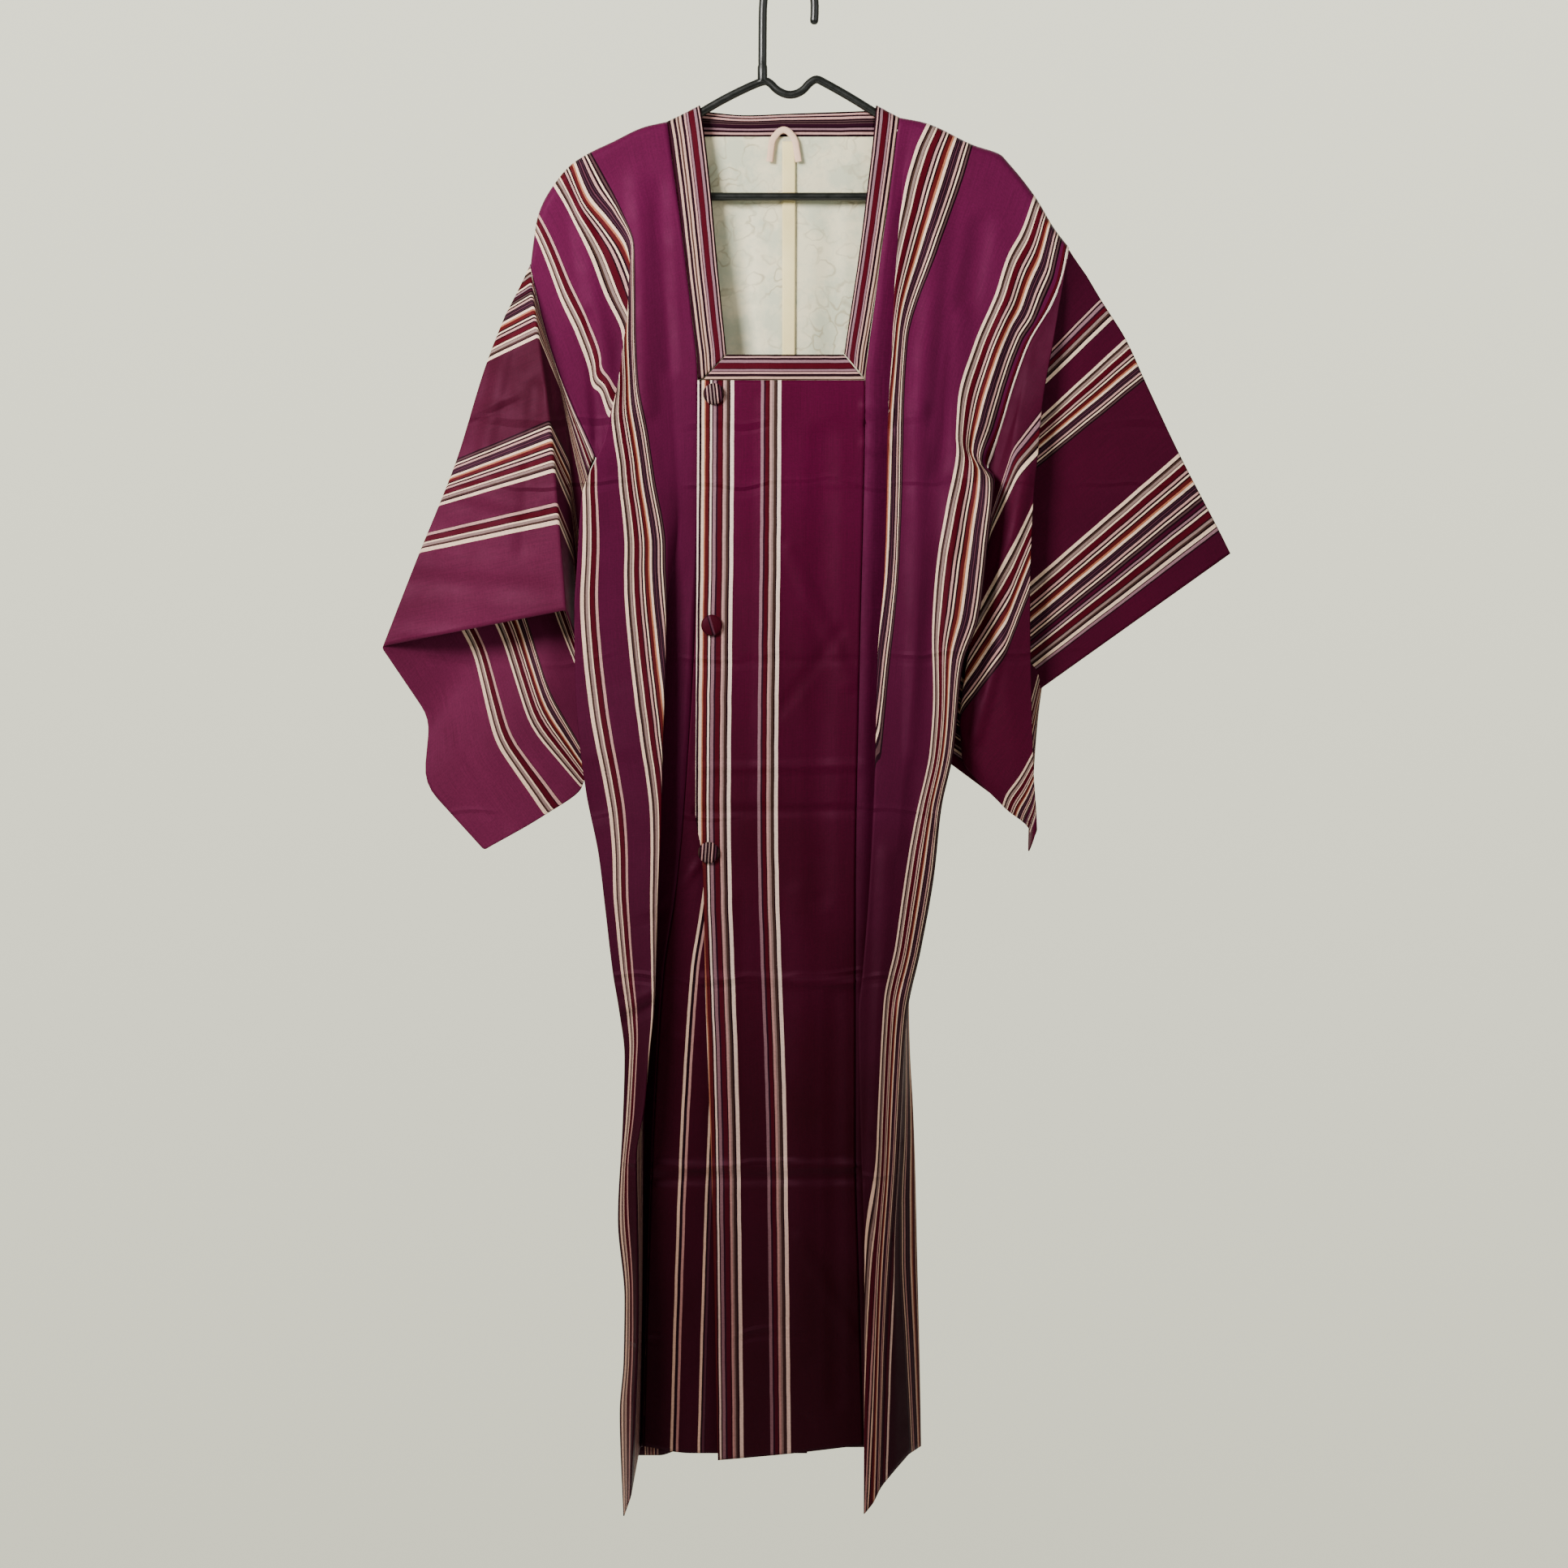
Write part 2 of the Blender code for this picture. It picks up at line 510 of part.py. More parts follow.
def strip(name, lines, rows, thickness, colour):
    grid = []
    for row in range(rows):
        share = row / (rows - 1)
        places = []
        for table in lines:
            read = reader(table)
            z = table[0][0] + (table[-1][0] - table[0][0]) * share
            x, y = read(z)
            places.append((x, y, z))
        count = len(places)
        grid.append(section(places, [PANEL_SOFTNESS] * count, [1] * count, [1] * (count - 1)))
    grid_object(name, grid, thickness, colour)


# A sleeve: its inner edge follows the body's armhole down to the armpit and hangs free below
def sleeve(name, folds, along, shoulder_table, seam_front, seam_back_top, outward, colour):
    lines = [reader(table) for soft, steps, between, table in folds.values()]
    softness = [fold[0] for fold in folds.values()]
    steps = [fold[1] for fold in folds.values()]
    between = [fold[2] for fold in folds.values()]
    grid = [section([tuple(line(u)) for line in lines], softness, steps, between, closed=True) for u in along]
    width, tip_x, tip_z = shoulder_table[-1]
    armpit = seam_back_top[-1][0] - ARMPIT_DROP
    front = reader([(tip_z, tip_x, seam_front[0][2])] + seam_front)
    back = reader([(tip_z, tip_x, seam_back_top[0][2])] + seam_back_top
                  + [entry for entry in seam_front if entry[0] < seam_back_top[-1][0]])
    edge = []
    for x, y, z in grid[0]:
        if z > armpit:
            z = min(z, tip_z)
            edge_x, edge_y = (back if y > 0 else front)(z)
            edge.append((edge_x + outward * ARMHOLE_GAP, edge_y * over_bar(tip_z - z), z))
        else:
            edge.append((x, y, z))
    grid[0] = edge
    grid_object(name, grid, CLOTH, colour, close_girth=True)


# A round bar swept along a path that lies in the hanger's plane
def bar(name, path, radius, sides, closed, colour):
    vertices = []
    faces = []
    count = len(path)
    for index, (x, z) in enumerate(path):
        before = path[index - 1] if closed or index else path[0]
        after = path[(index + 1) % count] if closed or index < count - 1 else path[-1]
        along = math.hypot(after[0] - before[0], after[1] - before[1])
        side_x = (after[1] - before[1]) / along
        side_z = -(after[0] - before[0]) / along
        for side in range(sides):
            angle = 2.0 * math.pi * (side + 0.5) / sides
            out = radius * math.cos(angle)
            vertices.append(((x + side_x * out) / 1000.0, radius * math.sin(angle) / 1000.0,
                             (z + side_z * out) / 1000.0))
    for index in range(count if closed else count - 1):
        after = (index + 1) % count
        for side in range(sides):
            beside = (side + 1) % sides
            faces.append((index * sides + side, index * sides + beside, after * sides + beside,
                          after * sides + side))
    if not closed:
        faces.append(tuple(range(sides)))
        faces.append(tuple((count - 1) * sides + side for side in range(sides)))
    mesh = bpy.data.meshes.new(name)
    mesh.from_pydata(vertices, [], faces)
    thing = bpy.data.objects.new(name, mesh)
    bpy.context.scene.collection.objects.link(thing)
    finish(thing, colour, 0)
    return thing


# Corners of a path cut round a few times
def softened(path, times, closed):
    for _ in range(times):
        result = [] if closed else [path[0]]
        for index in range(len(path) if closed else len(path) - 1):
            after = path[(index + 1) % len(path)]
            result.append(mix(path[index], after, 0.25))
            result.append(mix(path[index], after, 0.75))
        if not closed:
            result.append(path[-1])
        path = result
    return path


# A covered button: a low dome turned about the line towards the viewer
def button(name, x, z, back_y, colour):
    profile = [(0.0, 0.0), (0.82, 0.0), (1.0, 0.35), (0.9, 0.72), (0.6, 0.93), (0.0, 1.0)]
    sides = 20
    vertices = []
    faces = []
    for share, rise in profile:
        ring = 1 if share == 0.0 else sides
        for side in range(ring):
            angle = 2.0 * math.pi * side / sides
            vertices.append(seen(x + BUTTON_RADIUS * share * math.cos(angle), back_y - BUTTON_DEPTH * rise,
                                 z + BUTTON_RADIUS * share * math.sin(angle)))
    vertices = [tuple(v / 1000.0 for v in point) for point in vertices]
    for side in range(sides):
        beside = (side + 1) % sides
        faces.append((0, 1 + side, 1 + beside))
        for ring in range(3):
            start = 1 + ring * sides
            faces.append((start + side, start + sides + side, start + sides + beside, start + beside))
        last = 1 + 3 * sides
        faces.append((last + side, len(vertices) - 1, last + beside))
    mesh = bpy.data.meshes.new(name)
    mesh.from_pydata(vertices, [], faces)
    thing = bpy.data.objects.new(name, mesh)
    bpy.context.scene.collection.objects.link(thing)
    finish(thing, colour, 0)


striped_left = material("striped plum silk left", (0.13, 0.010, 0.053), 0.45)
striped_right = material("striped plum silk right", (0.13, 0.010, 0.053), 0.45)
overlap_cloth = material("overlap silk", (0.12, 0.009, 0.048), 0.45)
under_cloth = material("under overlap silk", (0.11, 0.009, 0.045), 0.45)
sleeve_cloth_left = material("sleeve silk left", (0.13, 0.010, 0.053), 0.45)
sleeve_cloth_right = material("sleeve silk right", (0.13, 0.010, 0.053), 0.45)

body("body_left", LEFT_FRONT, LEFT_BACK, SHOULDER_LEFT, NECK_LINE_LEFT, LEFT_SEAM_FRONT,
     LEFT_SEAM_BACK_TOP, striped_left)
body("body_right", RIGHT_FRONT, RIGHT_BACK, SHOULDER_RIGHT, NECK_LINE_RIGHT, RIGHT_SEAM_FRONT,
     RIGHT_SEAM_BACK_TOP, striped_right)
sleeve("sleeve_left", SLEEVE_LEFT, (0, 40, 79, 120, 161, 188, 214, 240, 264, 306, 348), SHOULDER_LEFT,
       LEFT_SEAM_FRONT, LEFT_SEAM_BACK_TOP, -1, sleeve_cloth_left)
sleeve("sleeve_right", SLEEVE_RIGHT, (0, 28, 56, 77, 102, 125, 147, 188, 230, 270, 313, 340), SHOULDER_RIGHT,
       RIGHT_SEAM_FRONT, RIGHT_SEAM_BACK_TOP, 1, sleeve_cloth_right)

# Overlap panels: the top one ends at the right body's seam, the under one starts at the left body's seam
top_seam = [(z, x - SEAM_GAP, y) for z, x, y in RIGHT_FRONT["neck and overlap seam"][2] if z < -393]
top_seam = [(-392.5, 74.6, -22)] + top_seam
strip("front_overlap_top", [TOP_PANEL_EDGE, TOP_PANEL_MIDDLE, top_seam], PANEL_ROWS, CLOTH, overlap_cloth)
under_seam = [(z, x + UNDER_SEAM_GAP, y) for z, x, y in LEFT_FRONT["neck and overlap seam"][2] if z < -393]
under_seam = [(-392.5, -88.7, -18)] + under_seam
strip("front_overlap_under", [under_seam, UNDER_PANEL_MIDDLE, UNDER_PANEL_EDGE], PANEL_ROWS, CLOTH,
      under_cloth)

# Neck frame: the side bands run from the mitred corners over the shoulder to the back band
right_seam = [(-134, 109, -6)] + RIGHT_FRONT["neck and overlap seam"][2]
left_seam = [(-138, -120, -6)] + LEFT_FRONT["neck and overlap seam"][2]
neck_right_outer = [(z, x - BAND_GAP, y) for z, x, y in right_seam if z > -395]
neck_left_outer = [(z, x + BAND_GAP, y) for z, x, y in left_seam if z > -395]


# A side band has three lines: its outer edge, the line where its mitred end turns, and its inner edge
def side_band(name, outer, inner, turn_share, turn_low, back_rows, colour):
    outer_read = reader(outer)
    inner_read = reader(inner)
    shares = (0.0, turn_share, 1.0)
    grid = []
    for outer_point, inner_point in reversed(back_rows):
        grid.append([mix(outer_point, inner_point, share) for share in shares])
    rows = 12
    for row in range(rows):
        line = []
        for share, low in zip(shares, (BAND_LOW, turn_low, BAND_LOW_INNER)):
            top = mix(outer[0], inner[0], share)[0]
            depth = row_depth(row, rows, top - low)
            x, y = mix(outer_read(top - depth), inner_read(top - depth), share)
            line.append((x, y * over_bar(depth), top - depth))
        grid.append(line)
    grid_object(name, grid, BAND, colour)


BAND_COLOUR = (0.16, 0.03, 0.07)
side_band("neck_band_right", neck_right_outer, BAND_RIGHT_INNER, 0.5, -378.8,
          [((106.3, 5.0, -137.5), (86, 5.0, -126.0)), ((104.5, 6.4, -141.5), (86, 7.2, -134.0)),
           ((98.5, 7.6, -147.5), (86.8, 8.6, -150.5))],
          material("band silk right", BAND_COLOUR, 0.45))
side_band("neck_band_left", neck_left_outer, BAND_LEFT_INNER, LEFT_BAND_TURN, BAND_LOW,
          [((-116.5, 5.0, -141.5), (-88, 5.0, -126.0)), ((-113.5, 6.4, -145.0), (-88, 7.2, -134.0)),
           ((-103.5, 7.6, -148.5), (-89, 8.6, -150.5))],
          material("band silk left", BAND_COLOUR, 0.45))
bottom_band = [
    [(-83.4, -18.3, -391.7), (-72.6, -18.3, -380.0), (-60.9, -18.3, -368.0)],
    [(-45, -20.2, -391.7), (-42, -19.6, -380.0), (-38, -19.2, -367.6)],
    [(0, -21.8, -391.7), (-3, -21.0, -380.0), (-6, -20.4, -367.6)],
    [(40, -22.3, -391.7), (34, -21.6, -380.0), (28, -21.2, -367.6)],
    [(73.6, -22.2, -391.7), (64.0, -21.7, -380.0), (53.7, -21.3, -368.0)],
]
grid_object("neck_band_bottom", bottom_band, BAND, material("band silk bottom", BAND_COLOUR, 0.45))
back_band = [
    [(-87.2, 9.2, -127.5), (-87.2, 9.2, -139.0), (-87.2, 9.4, -151.6)],
    [(-42, 9.8, -131.5), (-42, 9.8, -141.0), (-42, 9.9, -152)],
    [(0, 10.0, -130), (0, 10.0, -140), (0, 10.0, -152)],
    [(42, 9.8, -128.5), (42, 9.8, -140), (42, 9.9, -152)],
    [(85.2, 9.2, -127.0), (85.2, 9.2, -139.0), (85.2, 9.4, -151.6)],
]
grid_object("neck_band_back", back_band, BAND, material("band silk back", BAND_COLOUR, 0.45))

# Lining in the neck, its middle tape and the hanging loop
lining_cloth = material("cream lining", (0.75, 0.70, 0.58), 0.7)
strip("back_lining", [
    [(-158, -102, 5.6), (-185, -128, 6.4), (-240, -150, 7.6), (-300, -160, 10), (-560, -160, 14)],
    [(-155.5, -86, 6.6), (-200, -108, 8.4), (-400, -116, 11.2), (-560, -117, 10.8)],
    [(-155.5, -56, 7.0), (-200, -56, 9.0), (-300, -58, 13), (-560, -65, 16.5)],
    [(-155.5, 0, 7.0), (-200, 0, 8.8), (-400, 0, 12.2), (-560, 0, 12.7)],
    [(-155.5, 56, 7.0), (-200, 56, 9.0), (-300, 55, 12.2), (-560, 59, 15.5)],
    [(-155.5, 84, 6.6), (-200, 98, 8.4), (-400, 103, 11.2), (-560, 101, 11.2)],
    [(-158, 98, 5.6), (-185, 122, 6.4), (-240, 145, 7.6), (-300, 152, 10), (-560, 138, 14)],
], 10, CLOTH, lining_cloth)
tape_cloth = material("cream tape", (0.80, 0.72, 0.55), 0.7)
strip("lining_strip", [
    [(-157, -6.5, 4.8), (-200, -6.5, 6.2), (-400, -6.5, 9.5), (-556, -6.5, 10.1)],
    [(-157, 6.5, 4.8), (-200, 6.5, 6.2), (-400, 6, 9.5), (-556, 6, 10.1)],
], 8, CLOTH, tape_cloth)
loop_middle = softened([(-18.8, -177), (-17.6, -166), (-16.2, -154), (-5, -143), (6.2, -154), (7.8, -166),
                        (9.6, -177)], 2, False)
loop_grid = []
for index, (x, z) in enumerate(loop_middle):
    before = loop_middle[max(index - 1, 0)]
    after = loop_middle[min(index + 1, len(loop_middle) - 1)]
    along = math.hypot(after[0] - before[0], after[1] - before[1])
    side_x = (after[1] - before[1]) / along * LOOP_HALF
    side_z = -(after[0] - before[0]) / along * LOOP_HALF
    loop_grid.append([(x - side_x, LOOP_Y, z - side_z), (x + side_x, LOOP_Y, z + side_z)])
loop_cloth = material("loop tape", (0.78, 0.66, 0.55), 0.7)
grid_object("hanging_loop", loop_grid, LOOP_WALL, loop_cloth)

# Buttons stand off the top panel
panel_face = reader(TOP_PANEL_EDGE)
for number, (x, z) in enumerate(BUTTON_PLACES, 1):
    face_y = panel_face(z)[1] - BUTTON_STAND
    button("button_%d" % number, x, z, face_y, material("button silk %d" % number, (0.3, 0.05, 0.12), 0.5))

# Hanger: the frame is one closed bar under the shoulders, the hook is joined to it
plastic = material("black plastic", (0.012, 0.013, 0.012), 0.4)


def arm_height(shoulder_table, x):
    return reader([(abs(at), height) for width, at, height in shoulder_table])(abs(x))[0] - ARM_BELOW_CLOTH


right_arm = [(x, arm_height(SHOULDER_RIGHT, x)) for x in (115, 135, 155, 175, 192)]
left_arm = [(-x, arm_height(SHOULDER_LEFT, x)) for x in (192, 175, 155, 135, 122)]
frame_path = (
    [(-26, -97), (-19, -98.5), (-11, -107.5), (1, -112), (13, -108), (20, -99.5), (27, -95), (34, -98.5),
     (60, -113), (84, -128), (100, -138)] + right_arm
    + [(206, -184), (213, -192), (213, -204), (204, -211), (180, -211.5), (90, -211.5), (0, -211.5),
       (-90, -211.5), (-180, -211.5), (-204, -211), (-213, -205), (-213, -195), (-207, -187)]
    + left_arm + [(-105, -140.5), (-86, -128), (-60, -113)])
frame_bar = bar("hanger", softened(frame_path, 1, True), BAR_RADIUS, 8, True, plastic)
hook_path = [(STEM_X, -98.0), (STEM_X, -80.0), (-25.8, -50.0), (-25.6, -28.0)]
for degrees in range(165, -1, -15):
    angle = math.radians(degrees)
    hook_path.append((HOOK_RADIUS * math.cos(angle), HOOK_CENTRE_Z + HOOK_RADIUS * math.sin(angle)))
hook_path += [(25.4, -32.0), (25.0, -40.0)]
hook = bar("hook", hook_path, HOOK_BAR, 10, False, plastic)
bpy.context.view_layer.objects.active = frame_bar
joining = frame_bar.modifiers.new("hook joined", "BOOLEAN")
joining.operation = "UNION"
joining.solver = "EXACT"
joining.object = hook
bpy.ops.object.select_all(action="DESELECT")
frame_bar.select_set(True)
bpy.ops.object.modifier_apply(modifier=joining.name)
bpy.data.objects.remove(hook, do_unlink=True)
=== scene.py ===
# Striped michiyuki coat hung on a plastic clothes hanger: the dressed part.
# Lengths in the tables are millimetres, as in the part's source; meshes are made in metres, front towards -Y.
# The tables hold what is read from the front view: x across, z up, y towards the back.

import math

import bpy
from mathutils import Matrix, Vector


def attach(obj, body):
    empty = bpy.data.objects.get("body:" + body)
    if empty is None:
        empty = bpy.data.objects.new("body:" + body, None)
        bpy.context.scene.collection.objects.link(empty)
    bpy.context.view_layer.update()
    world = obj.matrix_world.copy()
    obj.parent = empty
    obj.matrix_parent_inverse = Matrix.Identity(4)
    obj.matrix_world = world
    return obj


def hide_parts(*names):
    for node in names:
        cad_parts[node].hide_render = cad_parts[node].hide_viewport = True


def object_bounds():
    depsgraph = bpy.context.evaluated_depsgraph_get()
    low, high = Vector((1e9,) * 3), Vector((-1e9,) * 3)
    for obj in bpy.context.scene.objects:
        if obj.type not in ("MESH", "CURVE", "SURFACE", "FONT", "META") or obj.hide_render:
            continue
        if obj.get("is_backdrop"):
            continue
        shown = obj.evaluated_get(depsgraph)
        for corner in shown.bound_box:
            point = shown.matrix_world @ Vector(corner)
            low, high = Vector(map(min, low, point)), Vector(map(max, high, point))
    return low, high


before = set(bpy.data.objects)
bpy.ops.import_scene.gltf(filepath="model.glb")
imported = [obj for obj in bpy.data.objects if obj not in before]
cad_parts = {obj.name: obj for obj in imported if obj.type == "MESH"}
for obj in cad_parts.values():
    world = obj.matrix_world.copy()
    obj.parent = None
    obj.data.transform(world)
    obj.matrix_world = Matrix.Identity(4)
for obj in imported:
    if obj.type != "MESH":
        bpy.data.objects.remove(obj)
cad_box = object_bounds()

# Rounding of the folds, of the turn at the right side and of the cloth over the shoulder; a corner's most
FOLD = 3.0
SIDE_TURN = 4.0
SHOULDER_ROUND = 6.0
MOST_OF_CORNER = 0.45

# Hanger: bars, hook and collar, and how far the arms lie below the shoulder's cloth
BAR_RADIUS = 4.1
HOOK_RADIUS = 25.6
HOOK_BAR = 4.3
HOOK_CENTRE_Z = -21.3
COLLAR_RADIUS = 5.0
STEM_X = -26.0
ARM_BELOW_CLOTH = 8.8
HOOK_ANGLES = range(165, -1, -15)

# Hanger's moulding: sides of the bars, softened edges (m) and angles (degrees), and its bars' blunt ends
BAR_SIDES = 20
HOOK_SIDES = 24
MOULDED_EDGE = 0.0009
MOULDED_ANGLE = 40.0
SMOOTH_ANGLE = 42.0
RING_REACH = 1.05
BAR_END = ((0.5, 0.85), (0.3, 0.6), (0.1, 0.4))

# With no window, transform.rotate turns the other way
TURN_SENSE = -1.0

# Buttons: size, the stand that the thread gives, and the dome's height and width from the back to the face
BUTTON_RADIUS = 10.5
BUTTON_DEPTH = 5.0
BUTTON_STAND = 1.55
BUTTON_BACK = 0.8
BUTTON_SIDES = 32
BUTTON_SMOOTHING = 2
BUTTON_DOME = ((0.04, 0.95), (0.2, 1.0), (0.45, 1.0), (0.68, 0.93), (0.84, 0.78), (0.95, 0.5), (1.0, 0.2))

# Where the tables' front view is seen from
VIEW_DISTANCE = 3000.0
VIEW_X = -5.0
VIEW_Z = -790.0

# Body: hem behind, how far down the shoulder's round and the neck's cut reach, where sides and widths begin
BACK_HEM_Z = -1444.0
BODY_DROP = 1310.0
ROUND_FADE = 280.0
NECK_BLEND = 40.0
SIDES_JOINED_BELOW = 30.0
WIDTHS_BELOW_TOP = 1.0

# Sleeves: length along the arm, width of the armhole's gap, and how far from it the cloth settles
LEFT_CUFF = 348
RIGHT_CUFF = 340
ARMPIT_DROP = 22.0
ARMHOLE_GAP = 0.5
LEFT_SETTLE = 40.0
RIGHT_SETTLE = 28.0

# Neck frame: the cloth's crown, the mitre's ends outside and inside, and where each band turns level there
BAND_CROWN = 0.5
CROWNED_BEFORE = 2.0
BAND_LOW = -391.0
BAND_LOW_INNER = -366.6
RIGHT_BAND_TURN = 0.5
RIGHT_BAND_TURN_Z = -378.8
LEFT_BAND_TURN = 0.15
FLAT_BAND_WIDTH = 24.5
FLAT_BAND_STEP = 40.0

# Gaps at the front seams: where panels and bands meet the body, and the heights at which their rows end
PANEL_GAP = 0.5
SEAM_GAP = 0.6
PANEL_TOP = -393
BAND_FOOT = -395

# Hanging loop: half its width, its place front to back and its hollow, and the places across it
LOOP_HALF = 3.2
LOOP_FRONT = 3.1
LOOP_HOLLOW = 0.4
LOOP_PLACES = (-1.0, -0.5, 0.0, 0.5, 1.0)

# Cloth walls, and how finely the cloth is drawn: close rows round the shoulder, rows, columns and steps
WALL = 0.9
BAND_WALL = 1.8
CLOSE_ROWS = (0.0, 0.4, 1.2, 2.4, 4.2, 6.5, 10.0)
BODY_ROWS = 230
BODY_COLUMN = 4.5
PANEL_ROWS = 260
TOP_PANEL_COLUMNS = 60
UNDER_PANEL_COLUMNS = 50
LINING_COLUMNS = 90
LINING_ROWS = 110
TAPE_COLUMNS = 9
BAND_COLUMNS = 15
SIDE_BAND_ROWS = 90
BOTTOM_BAND_STEPS = 70
BACK_BAND_STEPS = 60
FOLD_STEPS = 7
SOFT_STEPS = 5
FEW_COLUMNS = 12
MANY_COLUMNS = 21
SLEEVE_STEP = 4.0
MERGE_REACH = 0.00004

# Floor, light and camera, in metres: soft boxes have place, aim, size, power and colour
FLOOR_PLACE = (0.0, -0.35, -1.80)
FLOOR_SIZE = (4.0, 2.5, 1.0)
FLOOR_PAINT = {"Base Color": (0.72, 0.74, 0.72, 1.0), "Roughness": 0.9}
SOFT_BOXES = [
    ("key box", (-1.25, -1.6, 0.35), (0.0, 0.0, -0.55), 0.8, 104.0, (1.0, 0.98, 0.95)),
    ("fill box", (1.7, -1.9, 0.1), (0.0, 0.0, -0.7), 1.8, 20.0, (0.98, 0.98, 1.0)),
    ("back box", (0.3, 2.2, 0.9), (0.0, 0.0, -0.6), 1.8, 50.0, (1.0, 1.0, 1.0)),
]
BACKDROP_COLOUR = (1.0, 0.99, 0.77, 1.0)
BACKDROP_REARWARDS = ((0.1, 0.9), (0.26, 1.27))
BACKDROP_UPWARDS = ((-0.3, 0.3), (0.78, 1.34))
CAMERA_LENS = 69.88
CAMERA_SENSOR = 36.0
CAMERA_PLACE = (-0.0048, -3.0, -0.7904)

# How far the pressed-in relief reaches: strength, where it sets in down the cloth and towards each face
RELIEF_STRENGTH = 2.2
RELIEF_TOP = 165.0
RELIEF_RUN = 60.0
RELIEF_DEPTH = 10.0
BACK_FACE_Y = 4.0

# Slow waves of hung cloth: their heights, and how far the back's waves are shifted from the front's
LONG_WAVE = 0.5
SHORT_WAVE = 0.3
BACK_WAVE_X = 40.0
BACK_WAVE_Z = -15.0

# Shoulder line, one row per place: cloth width from the neck seam, across x, height z
SHOULDER_LEFT = [
    (0, -120, -138), (23, -142, -143), (58, -174, -158), (83, -195, -168), (105, -214, -180),
    (133, -232, -201), (155, -243, -220), (170, -248, -235), (190, -251, -254), (217, -254, -278),
]
SHOULDER_RIGHT = [
    (0, 109, -134), (25, 134, -139), (78, 182, -161), (106, 208, -170), (115, 214, -176),
    (159, 242, -211), (198, 262, -244), (217, 276, -262),
]

# Back neck line, one row per place: cloth width from the neck seam (towards the middle), x, y, z
NECK_LINE_RIGHT = [
    (-115, 0.2, 10.5, -153.5), (-57, 57, 10.5, -153.5), (-28, 88, 10, -154), (-14, 103, 9, -151.5),
    (-6, 109, 7, -142), (0, 109, 0, -134),
]
NECK_LINE_LEFT = [
    (-115, -0.2, 10.5, -153.5), (-57, -57, 10.5, -153.5), (-28, -90, 10, -154), (-14, -108, 9, -153),
    (-6, -119, 7, -146), (0, -120, 0, -138),
]

# Widths of the back cloth at which it is drawn from the middle seam to the neck seam
BACK_NECK_WIDTHS = list(range(-115, -29, 5)) + [-28, -25, -22, -19, -16, -14, -11, -8, -6, -4, -2]

# Fold lines of the right body's front, each: cloth width at the shoulder, softness, then rows of z, x, y
RIGHT_FRONT = {
    "neck and overlap seam": (0, 0, [
        (-150, 106.5, -6.5), (-210, 99, -12), (-266, 91, -16), (-314, 85, -19), (-366, 78, -21.5),
        (-392, 75.5, -22), (-450, 75, -23), (-665, 70, -25), (-900, 66, -27), (-1138, 66, -29),
        (-1300, 70, -30), (-1442, 74, -31)]),
    "tuck": (12, FOLD, [
        (-160, 117, -6.5), (-210, 113, -9), (-266, 113, -10), (-314, 112, -11), (-366, 111, -12),
        (-435, 110, -12), (-578, 109, -12), (-666, 107, -12), (-762, 108, -12), (-822, 108, -12),
        (-898, 104, -13), (-978, 97, -13), (-1018, 95, -13), (-1138, 96, -13), (-1266, 98, -13),
        (-1446, 99, -14)]),
    "lap": (27, FOLD, [
        (-165, 124, -8), (-210, 112, -16), (-266, 106, -22), (-314, 103, -26), (-366, 101, -29),
        (-435, 97, -34), (-578, 94, -38), (-666, 87, -42), (-762, 84.8, -46), (-822, 82.4, -50),
        (-898, 78.4, -55), (-978, 72, -60), (-1018, 68, -62), (-1138, 70.4, -67), (-1266, 74.4, -70),
        (-1511, 73.6, -72)]),
    "first stripe": (76, 14, [
        (-200, 168, -8), (-266, 144, -13), (-354, 115, -24), (-419, 112, -30), (-485, 112, -35),
        (-566, 110, -38), (-618, 106, -41), (-700, 97, -44), (-762, 93, -47), (-813, 98, -50),
        (-898, 90, -55), (-1004, 79, -61), (-1138, 78, -66.5), (-1266, 79, -69), (-1505, 78.5, -71)]),
    "second stripe": (159, 16, [
        (-244, 229, -8), (-270, 214, -11), (-310, 202, -14), (-354, 183, -20), (-414, 166, -27),
        (-458, 165, -31), (-518, 153, -38), (-578, 142, -42), (-626, 139, -44), (-706, 143, -47),
        (-759, 140, -49), (-813, 128, -52), (-860, 118, -54), (-898, 112, -56), (-952, 105, -58),
        (-1004, 94, -61), (-1081, 90, -63), (-1146, 88, -66), (-1266, 86, -68), (-1498, 84, -69)]),
    "second stripe edge": (203, 8, [
        (-285, 262, -9), (-314, 251, -11), (-334, 243, -12), (-354, 230, -13), (-397, 214, -16),
        (-437, 202, -19), (-475, 190, -23), (-489, 197, -36), (-501, 198, -43), (-553, 193, -46),
        (-626, 184, -47), (-674, 168, -48), (-759, 159, -49), (-815, 147, -50), (-879, 140, -51),
        (-952, 127, -52), (-1017, 113, -56), (-1080, 108, -59), (-1163, 104, -61), (-1250, 99, -63),
        (-1330, 95, -65), (-1484, 90, -66)]),
    "turn": (210, SIDE_TURN, [
        (-290, 266, -8), (-320, 254, -10), (-354, 234, -12), (-397, 218, -15), (-437, 206, -17),
        (-475, 194, -20), (-489, 204, -32), (-501, 203, -41), (-553, 197, -44), (-626, 188, -45),
        (-674, 172, -46), (-759, 163, -46), (-815, 151, -46), (-879, 144, -46), (-952, 131, -46),
        (-1017, 117, -50), (-1080, 112, -54), (-1163, 108, -57), (-1250, 104, -58), (-1346, 105, -58),
        (-1466, 105, -56)]),
}
